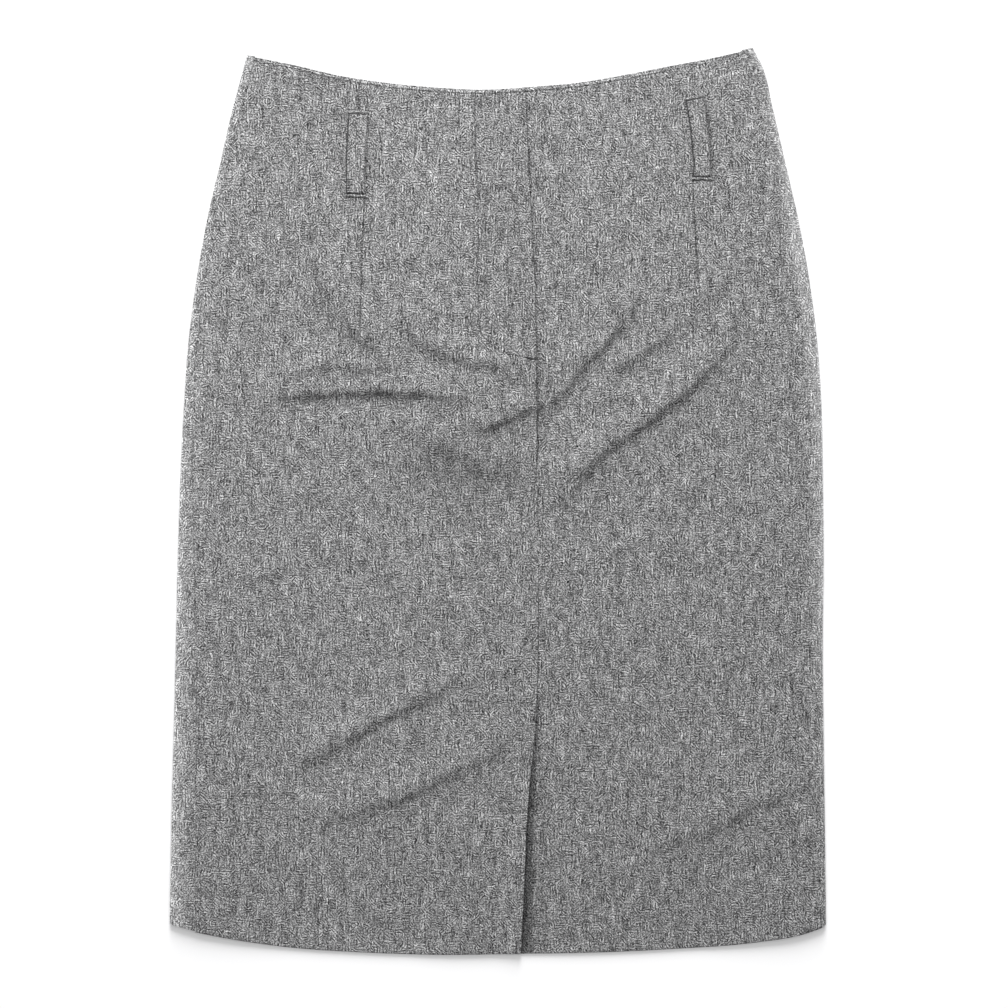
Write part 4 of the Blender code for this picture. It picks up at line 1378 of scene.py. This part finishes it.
def wool_weave():
    """Shade and height of a salt-and-pepper wool: small patches of ribs that run upright, across
    or aslant, light and dark yarns along and across, and a slow cloudiness over all."""
    group, n, given, out = new_group(
        "wool_weave",
        [
            ("Place", "NodeSocketVector", None),
            ("Yarn Pitch", "NodeSocketFloat", 0.00058),
            ("Contrast", "NodeSocketFloat", 1.0),
            ("Tone", "NodeSocketFloat", 0.5),
        ],
        [("Shade", "NodeSocketFloat"), ("Height", "NodeSocketFloat")],
    )
    per_yarn = n.math("DIVIDE", 1.0, given["Yarn Pitch"])
    yarns = n.vector("SCALE", given["Place"], scale=per_yarn)
    half = (0.5, 0.5, 0.5)
    sway = n.vector("SUBTRACT", n.noise(yarns, 1 / SWAY_SIZE, 2.0, 0.6, 1), half)
    quiver = n.vector("SUBTRACT", n.noise(yarns, 1 / QUIVER_SIZE, 0.0, 0.5, 1), half)
    bent = n.vector("ADD", yarns, n.vector("SCALE", sway, scale=SWAY))
    bent = n.vector("ADD", bent, n.vector("SCALE", quiver, scale=QUIVER))

    patch = n.add("ShaderNodeTexVoronoi", voronoi_dimensions="2D")
    n.put(patch.inputs["Vector"], n.vector("MULTIPLY", bent, PATCH_FLAT))
    n.put(patch.inputs["Scale"], 1 / PATCH_SIZE)
    kind, lean, shift = n.split(patch.outputs["Color"])
    upright = n.math("LESS_THAN", kind, UPRIGHT)
    slanted = n.math("GREATER_THAN", kind, LEVEL_TO)
    level = n.math("SUBTRACT", n.math("SUBTRACT", 1.0, upright), slanted)
    sign = n.math("MULTIPLY_ADD", n.math("LESS_THAN", lean, LEAN), 2.0, -1.0)
    by_u = n.math("MULTIPLY_ADD", upright, UPRIGHT_RIBS, slanted)
    by_v = n.math("MULTIPLY_ADD", level, LEVEL_RIBS, n.math("MULTIPLY", slanted, sign))
    u, v, _ = n.split(bent)
    turn = n.math("MULTIPLY_ADD", u, by_u, n.math("MULTIPLY", v, by_v))
    turn = n.math("MULTIPLY_ADD", shift, RIB_SHIFT, turn)
    rib = n.math("COSINE", n.math("MULTIPLY", turn, math.pi / 2))
    plain = n.noise(yarns, 1 / PLAIN_SIZE, 1.0, 0.5)
    total = n.math("MULTIPLY", rib, n.span(plain, *PLAIN, *RIBS))

    crossing = n.add("ShaderNodeTexWhiteNoise")
    n.put(crossing.inputs["Vector"], n.vector("FLOOR", yarns))
    total = n.around(total, crossing.outputs["Value"], CROSSINGS)
    warp = n.vector("MULTIPLY", bent, (1.0, 1 / WARP_LENGTH, 1.0))
    total = n.around(total, n.noise(warp, 1.0, 1.0, 0.5), WARP)
    weft = n.vector("MULTIPLY", bent, (1 / WEFT_LENGTH, 1.0, 1.0))
    weft = n.vector("ADD", weft, WEFT_SHIFT)
    total = n.around(total, n.noise(weft, 1.0, 1.0, 0.5), WEFT)
    cloud = n.vector("MULTIPLY", yarns, (1 / CLOUD_SIZE[0], 1 / CLOUD_SIZE[1], 1.0))
    cloud = n.vector("ADD", cloud, CLOUD_SHIFT)
    total = n.around(total, n.noise(cloud, 1.0, 3.0, 0.5), CLOUD)

    shade = n.math("MULTIPLY_ADD", total, given["Contrast"], given["Tone"])
    shade = n.math("MINIMUM", n.math("MAXIMUM", shade, DARKEST), 1.0)
    n.put(out["Shade"], n.math("POWER", shade, SHADE_POWER))
    fuzz = n.math("MULTIPLY", n.noise(yarns, FUZZ_PER_YARN, 2.0, 0.6), FUZZ_HEIGHT)
    n.put(out["Height"], n.math("MULTIPLY_ADD", rib, RIB_HEIGHT, fuzz))
    return group


def sewn_line():
    """Darkness and depth of a line sewn into cloth: exp(-(across / width)^2), broken by chance
    and into stitches along its length."""
    group, n, given, out = new_group(
        "sewn_line",
        [
            ("Across", "NodeSocketFloat", 0.0),
            ("Along", "NodeSocketFloat", 0.0),
            ("Width", "NodeSocketFloat", 0.0007),
            ("Stitch", "NodeSocketFloat", 0.003),
        ],
        [("Line", "NodeSocketFloat"), ("Groove", "NodeSocketFloat")],
    )
    away = n.math("DIVIDE", given["Across"], given["Width"])
    groove = n.math("EXPONENT", n.math("MULTIPLY", n.math("MULTIPLY", away, away), -1.0))
    beat = n.math("FRACT", n.math("DIVIDE", given["Along"], given["Stitch"]))
    hole = n.math("ABSOLUTE", n.math("MULTIPLY_ADD", beat, 2.0, -1.0))
    place = n.add("ShaderNodeCombineXYZ")
    n.put(place.inputs[0], n.math("MULTIPLY", given["Along"], BREAKS_PER_METRE))
    broken = n.span(n.noise(place.outputs[0], 1.0, 2.0, 0.6), *BREAKS)
    dark = n.math("MULTIPLY_ADD", hole, HOLE_DARK, 1 - HOLE_DARK)
    deep = n.math("MULTIPLY_ADD", hole, HOLE_DEPTH, 1 - HOLE_DEPTH)
    n.put(out["Line"], n.math("MULTIPLY", groove, n.math("MULTIPLY", dark, broken)))
    n.put(out["Groove"], n.math("MULTIPLY", groove, deep))
    return group


def shared_group(name, make):
    """The node group of this name, made when it is first asked for."""
    return bpy.data.node_groups.get(name) or make()


def shader_material(name, **constants):
    """A new material, its nodes and its shader's sockets; constants are set on these, with an
    underscore for each space in a socket's name."""
    material = bpy.data.materials.new(name)
    material.use_nodes = True
    shader = material.node_tree.nodes["Principled BSDF"].inputs
    for socket, value in constants.items():
        shader[socket.replace("_", " ")].default_value = value
    return material, Nodes(material.node_tree), shader


def roughen(n, shader, height, distance, strength=1.0):
    bump = n.add("ShaderNodeBump")
    bump.inputs["Strength"].default_value = strength
    bump.inputs["Distance"].default_value = distance
    n.put(bump.inputs["Height"], height)
    n.put(shader["Normal"], bump.outputs[0])


def dimmed(colour, share):
    return tuple(part * share for part in colour[:3]) + (1.0,)


def mesh_mark(n, name):
    """The number that a mesh keeps at each point under this name."""
    return n.add("ShaderNodeAttribute", attribute_name=name).outputs["Fac"]


def colour_mix(n, share, a, b):
    """Colour a where share is nought, b where it is one."""
    node = n.add("ShaderNodeMix", data_type="RGBA")
    for socket, value in zip((0, 6, 7), (share, a, b)):
        n.put(node.inputs[socket], value)
    return node.outputs[2]


def wool(name, lines=()):
    """The woven wool of one piece. Each line is sewn along where its mark is nought. Where the
    painted light and shade mark is above nought it is painted shade, and below it a painted
    highlight that is lighter and flatter."""
    sizes, colours = bpy.context.scene.skirt_cloth, bpy.context.scene.skirt_colours
    material, n, shader = shader_material(
        name,
        Specular_IOR_Level=0.12,
        Sheen_Weight=0.07,
        Sheen_Roughness=0.45,
        Sheen_Tint=(0.9, 0.9, 0.92, 1.0),
    )
    place = n.add("ShaderNodeUVMap", uv_map="Weave").outputs[0]
    weave = n.add("ShaderNodeGroup", node_tree=shared_group("wool_weave", wool_weave))
    n.put(weave.inputs["Place"], n.vector("ADD", place, WEAVE_SHIFT[name]))
    weave.inputs["Yarn Pitch"].default_value = sizes.yarn_pitch
    weave.inputs["Contrast"].default_value = sizes.weave_contrast
    weave.inputs["Tone"].default_value = sizes.weave_tone
    shade = weave.outputs["Shade"]
    height = n.math("MULTIPLY", weave.outputs["Height"], sizes.weave_relief)
    for line in lines:
        sewn = n.add("ShaderNodeGroup", node_tree=shared_group("sewn_line", sewn_line))
        n.put(sewn.inputs["Across"], mesh_mark(n, line.mark + "_across"))
        if line.stitch:
            n.put(sewn.inputs["Along"], mesh_mark(n, line.mark + "_along"))
            sewn.inputs["Stitch"].default_value = line.stitch
        else:
            n.put(sewn.inputs["Along"], n.split(place)[0])
        sewn.inputs["Width"].default_value = line.width
        kept = n.math("MULTIPLY_ADD", sewn.outputs["Line"], -line.darkness, 1.0)
        shade = n.math("MULTIPLY", shade, kept)
        height = n.math("MULTIPLY_ADD", sewn.outputs["Groove"], -line.depth, height)
    # painted shade where the mark is above nought, painted highlight where it is below
    nook = mesh_mark(n, "nook")
    lost = n.math("MAXIMUM", nook, n.math("MULTIPLY", nook, 1 - PAINTED_HIGHLIGHT_FLAT))
    shade = n.math("MULTIPLY", shade, n.math("SUBTRACT", 1.0, lost))
    # below nought the painted highlight lightens the shade and flattens the weave
    painted_highlight = n.math("MULTIPLY", n.math("MINIMUM", nook, 0.0), -PAINTED_HIGHLIGHT_SHARE)
    lighter = n.math("SUBTRACT", PAINTED_HIGHLIGHT_SHADE, shade)
    shade = n.math("MULTIPLY_ADD", lighter, painted_highlight, shade)
    n.put(shader["Base Color"], colour_mix(n, shade, colours.dark_yarn, colours.light_yarn))
    n.put(shader["Roughness"], n.span(shade, *WOOL_ROUGH))
    roughen(n, shader, height, 1.0, WOOL_BUMP)
    return material


def thread(name, colour):
    """Twisted sewing thread: slanting plies, with painted shade between them."""
    material, n, shader = shader_material(
        name, Roughness=0.8, Specular_IOR_Level=0.15, Sheen_Weight=0.05
    )
    place = n.add("ShaderNodeTexCoord").outputs["Object"]
    x, y, z = n.split(place)
    lie = n.math("ADD", n.math("MULTIPLY", x, PLY[0]), n.math("MULTIPLY", y, PLY[1]))
    ply = n.math("MULTIPLY_ADD", n.math("SINE", n.math("MULTIPLY_ADD", z, PLY[2], lie)), 0.5, 0.5)
    share = n.around(ply, n.noise(place, LINT_PER_METRE, 2.0, 0.6), LINT)
    n.put(shader["Base Color"], colour_mix(n, share, dimmed(colour, PLY_DARK), colour))
    roughen(n, shader, ply, PLY_RELIEF)
    return material


def tape_weave(name, colour):
    """Zip tape: a fine herringbone of dark polyester, with painted shade between its ribs."""
    material, n, shader = shader_material(name, Roughness=0.8)
    x, y, _ = n.split(n.add("ShaderNodeUVMap", uv_map="Weave").outputs[0])
    fold = n.math("PINGPONG", x, TAPE_FOLD)
    rib = n.math("SINE", n.math("MULTIPLY", n.math("ADD", y, fold), TAPE_RIBS))
    share = n.math("MULTIPLY_ADD", rib, 0.5, 0.5)
    n.put(shader["Base Color"], colour_mix(n, share, dimmed(colour, TAPE_DARK), colour))
    roughen(n, shader, share, TAPE_RELIEF)
    return material


def pale_floor(colour):
    """Matt paper: nearly white, with a very faint grain."""
    material, n, shader = shader_material("pale_floor", Roughness=0.95, Specular_IOR_Level=0.0)
    place = n.add("ShaderNodeTexCoord").outputs["Object"]
    grain = n.noise(place, FLOOR_GRAIN, 3.0, 0.6)
    n.put(shader["Base Color"], colour_mix(n, grain, dimmed(colour, FLOOR_DARK), colour))
    return material


# ---- the add-on -------------------------------------------------------------------------
def length_setting(name, description, default, least=0.0):
    return bpy.props.FloatProperty(
        name=name, description=description, default=default, min=least, unit="LENGTH", precision=5
    )


def share_setting(name, description, default):
    return bpy.props.FloatProperty(
        name=name, description=description, default=default, min=0.0, subtype="FACTOR"
    )


def colour_setting(name, description, default):
    return bpy.props.FloatVectorProperty(
        name=name, description=description, default=(*default, 1.0), size=4, subtype="COLOR"
    )


def power_setting(name, description, default):
    return bpy.props.FloatProperty(
        name=name, description=description, default=default, unit="POWER"
    )


class SkirtCloth(bpy.types.PropertyGroup):
    """Sizes and strengths of the weave and of the sewing."""

    yarn_pitch: length_setting(
        "Yarn pitch", "Distance from one yarn to the next", 0.00058, 0.0002
    )
    weave_contrast: share_setting("Weave contrast", "How far light and dark yarns differ", 0.74)
    weave_tone: share_setting("Weave tone", "Middle tone of the wool", 0.3905)
    weave_relief: length_setting("Weave relief", "How far the ribs stand off", 0.00016)
    stitch_length: length_setting(
        "Stitch length", "Length of one topstitch and the hole after it", 0.0030, 0.001
    )
    thread_width: length_setting(
        "Thread width", "Thickness of the topstitching thread", 0.00036, 0.0001
    )


class SkirtColours(bpy.types.PropertyGroup):
    """Colours of the yarns, the thread, the zip and the floor."""

    light_yarn: colour_setting("Light yarn", "Colour of the lightest yarn", (0.84, 0.84, 0.845))
    dark_yarn: colour_setting("Dark yarn", "Colour of the darkest yarn", (0.004, 0.004, 0.0045))
    thread: colour_setting("Thread", "Colour of the sewing thread", (0.075, 0.075, 0.078))
    tack_thread: colour_setting(
        "Tack thread", "Colour of the thread that the bar tacks are sewn with", (0.024, 0.024, 0.025)
    )
    zip_tape: colour_setting("Zip tape", "Colour of the zip's tapes and coil", (0.05, 0.05, 0.052))
    floor: colour_setting("Floor", "Colour of the floor", (0.86, 0.86, 0.865))


class SkirtStage(bpy.types.PropertyGroup):
    """Camera and light."""

    view_width: length_setting(
        "View width", "Width that the camera takes in at the floor", 0.7016, 0.1
    )
    waist_power: power_setting("Waist light", "Light from beyond the waist", 129.0)
    slant_power: power_setting("Slant light", "Light from the upper left", 85.0)
    left_power: power_setting("Left light", "Low light from the left", 32.0)
    right_power: power_setting("Right light", "Low light from the upper right", 16.0)
    floor_power: power_setting("Floor light", "Light from above on the floor alone", 21.0)
    sky: bpy.props.FloatProperty(
        name="Sky", description="Even light from all round", default=0.45, min=0.0
    )


class SKIRT_OT_fronts(bpy.types.Operator):
    """Builds the left and the right front panel"""

    bl_idname = "skirt.fronts"
    bl_label = "Front panels"

    def execute(self, context):
        lines = {line.mark: line for line in LINES}
        stitch = context.scene.skirt_cloth.stitch_length
        lines["fly_stitch"] = lines["fly_stitch"]._replace(stitch=stitch)
        left_front(wool("left_front_wool", [lines[mark] for mark in LEFT_LINES]))
        right_front(wool("right_front_wool", [lines[mark] for mark in RIGHT_LINES]))
        return {"FINISHED"}


class SKIRT_OT_back(bpy.types.Operator):
    """Builds the back panel, which wraps both sides"""

    bl_idname = "skirt.back"
    bl_label = "Back panel"

    def execute(self, context):
        back_panel(wool("back_wool"))
        return {"FINISHED"}


class SKIRT_OT_loops(bpy.types.Operator):
    """Builds the two belt loops"""

    bl_idname = "skirt.loops"
    bl_label = "Belt loops"

    def execute(self, context):
        belt_loop(LOOPS[0], left_top, wool("left_loop_wool"))
        belt_loop(LOOPS[1], right_top, wool("right_loop_wool"))
        return {"FINISHED"}


class SKIRT_OT_stitching(bpy.types.Operator):
    """Builds the fly's topstitching and the bar tacks"""

    bl_idname = "skirt.stitching"
    bl_label = "Stitching"

    def execute(self, context):
        colours = context.scene.skirt_colours
        fly_stitching(thread("sewing_thread", tuple(colours.thread)))
        bar_tacks(thread("tack_thread", tuple(colours.tack_thread)))
        return {"FINISHED"}


class SKIRT_OT_zip(bpy.types.Operator):
    """Builds the fly zip's tapes and coil"""

    bl_idname = "skirt.zip"
    bl_label = "Fly zip"

    def execute(self, context):
        colour = tuple(context.scene.skirt_colours.zip_tape)
        zip_tapes(tape_weave("zip_tape_weave", colour))
        zip_teeth(thread("zip_coil", colour))
        return {"FINISHED"}


def area_light(lamp, power, floor):
    """A soft rectangle of light that falls on the floor alone or leaves it out."""
    data = bpy.data.lights.new(lamp.name, "AREA")
    data.shape = "RECTANGLE"
    data.size, data.size_y = lamp.size
    data.energy = power
    light = bpy.data.objects.new(lamp.name, data)
    light.location = lamp.place
    way = Vector(lamp.target) - Vector(lamp.place)
    light.rotation_euler = way.to_track_quat("-Z", "Y").to_euler()
    light.visible_camera = False
    bpy.context.scene.collection.objects.link(light)
    linked = bpy.data.collections.new(lamp.name + "_falls_on")
    linked.objects.link(floor)
    link = linked.collection_objects[0].light_linking
    link.link_state = "INCLUDE" if lamp.on_floor else "EXCLUDE"
    light.light_linking.receiver_collection = linked


def laid_floor(colour):
    """A wide square just under the skirt."""
    corners = np.array([(-1, -1), (1, -1), (1, 1), (-1, 1)]) * FLOOR_REACH
    points = np.column_stack([corners, np.full(4, FLOOR_LEVEL)])
    mesh = new_mesh("floor", points, np.array([[0, 1, 2, 3]]))
    mesh.materials.append(pale_floor(colour))
    floor = bpy.data.objects.new("floor", mesh)
    bpy.context.scene.collection.objects.link(floor)
    return floor


def camera_above(view_width):
    """A camera straight above that takes in the view's width at CAMERA_RISE."""
    lens = bpy.data.cameras.new("camera")
    lens.lens = CAMERA_LENS
    lens.sensor_width = CAMERA_SENSOR
    camera = bpy.data.objects.new("camera", lens)
    camera.location = (*CAMERA_PLACE, view_width * lens.lens / lens.sensor_width + CAMERA_RISE)
    bpy.context.scene.collection.objects.link(camera)
    return camera


class SKIRT_OT_stage(bpy.types.Operator):
    """Makes the floor, the lights and the camera"""

    bl_idname = "skirt.stage"
    bl_label = "Stage"

    def execute(self, context):
        scene = context.scene
        settings = scene.skirt_stage
        floor = laid_floor(tuple(scene.skirt_colours.floor))
        world = bpy.data.worlds.new("studio")
        world.use_nodes = True
        background = world.node_tree.nodes["Background"].inputs
        background["Color"].default_value = (1.0, 1.0, 1.0, 1.0)
        background["Strength"].default_value = settings.sky
        scene.world = world
        for lamp in LAMPS:
            area_light(lamp, getattr(settings, lamp.power) * lamp.share, floor)
        scene.camera = camera_above(settings.view_width)
        scene.view_settings.view_transform = "Standard"
        scene.view_settings.look = "None"
        return {"FINISHED"}


class SKIRT_PT_panel(bpy.types.Panel):
    """Lists the skirt's sizes, colours and pieces"""

    bl_idname = "SKIRT_PT_panel"
    bl_label = "Wool skirt"
    bl_space_type = "VIEW_3D"
    bl_region_type = "UI"
    bl_category = "Skirt"

    def draw(self, context):
        for group in ("skirt_cloth", "skirt_colours", "skirt_stage"):
            box = self.layout.box()
            settings = getattr(context.scene, group)
            for name in settings.__annotations__:
                box.prop(settings, name)
        for operator in OPERATORS:
            self.layout.operator(operator.bl_idname)


GROUPS = {"skirt_cloth": SkirtCloth, "skirt_colours": SkirtColours, "skirt_stage": SkirtStage}
OPERATORS = (
    SKIRT_OT_stage,
    SKIRT_OT_fronts,
    SKIRT_OT_back,
    SKIRT_OT_loops,
    SKIRT_OT_stitching,
    SKIRT_OT_zip,
)


def register():
    for kind in (*GROUPS.values(), *OPERATORS, SKIRT_PT_panel):
        bpy.utils.register_class(kind)
    for name, kind in GROUPS.items():
        setattr(bpy.types.Scene, name, bpy.props.PointerProperty(type=kind))


def unregister():
    for name in GROUPS:
        delattr(bpy.types.Scene, name)
    for kind in (SKIRT_PT_panel, *OPERATORS[::-1], *list(GROUPS.values())[::-1]):
        bpy.utils.unregister_class(kind)


def main():
    register()
    bpy.ops.skirt.stage()
    bpy.ops.skirt.fronts()
    bpy.ops.skirt.back()
    bpy.ops.skirt.loops()
    bpy.ops.skirt.stitching()
    bpy.ops.skirt.zip()


if __name__ == "__main__":
    main()
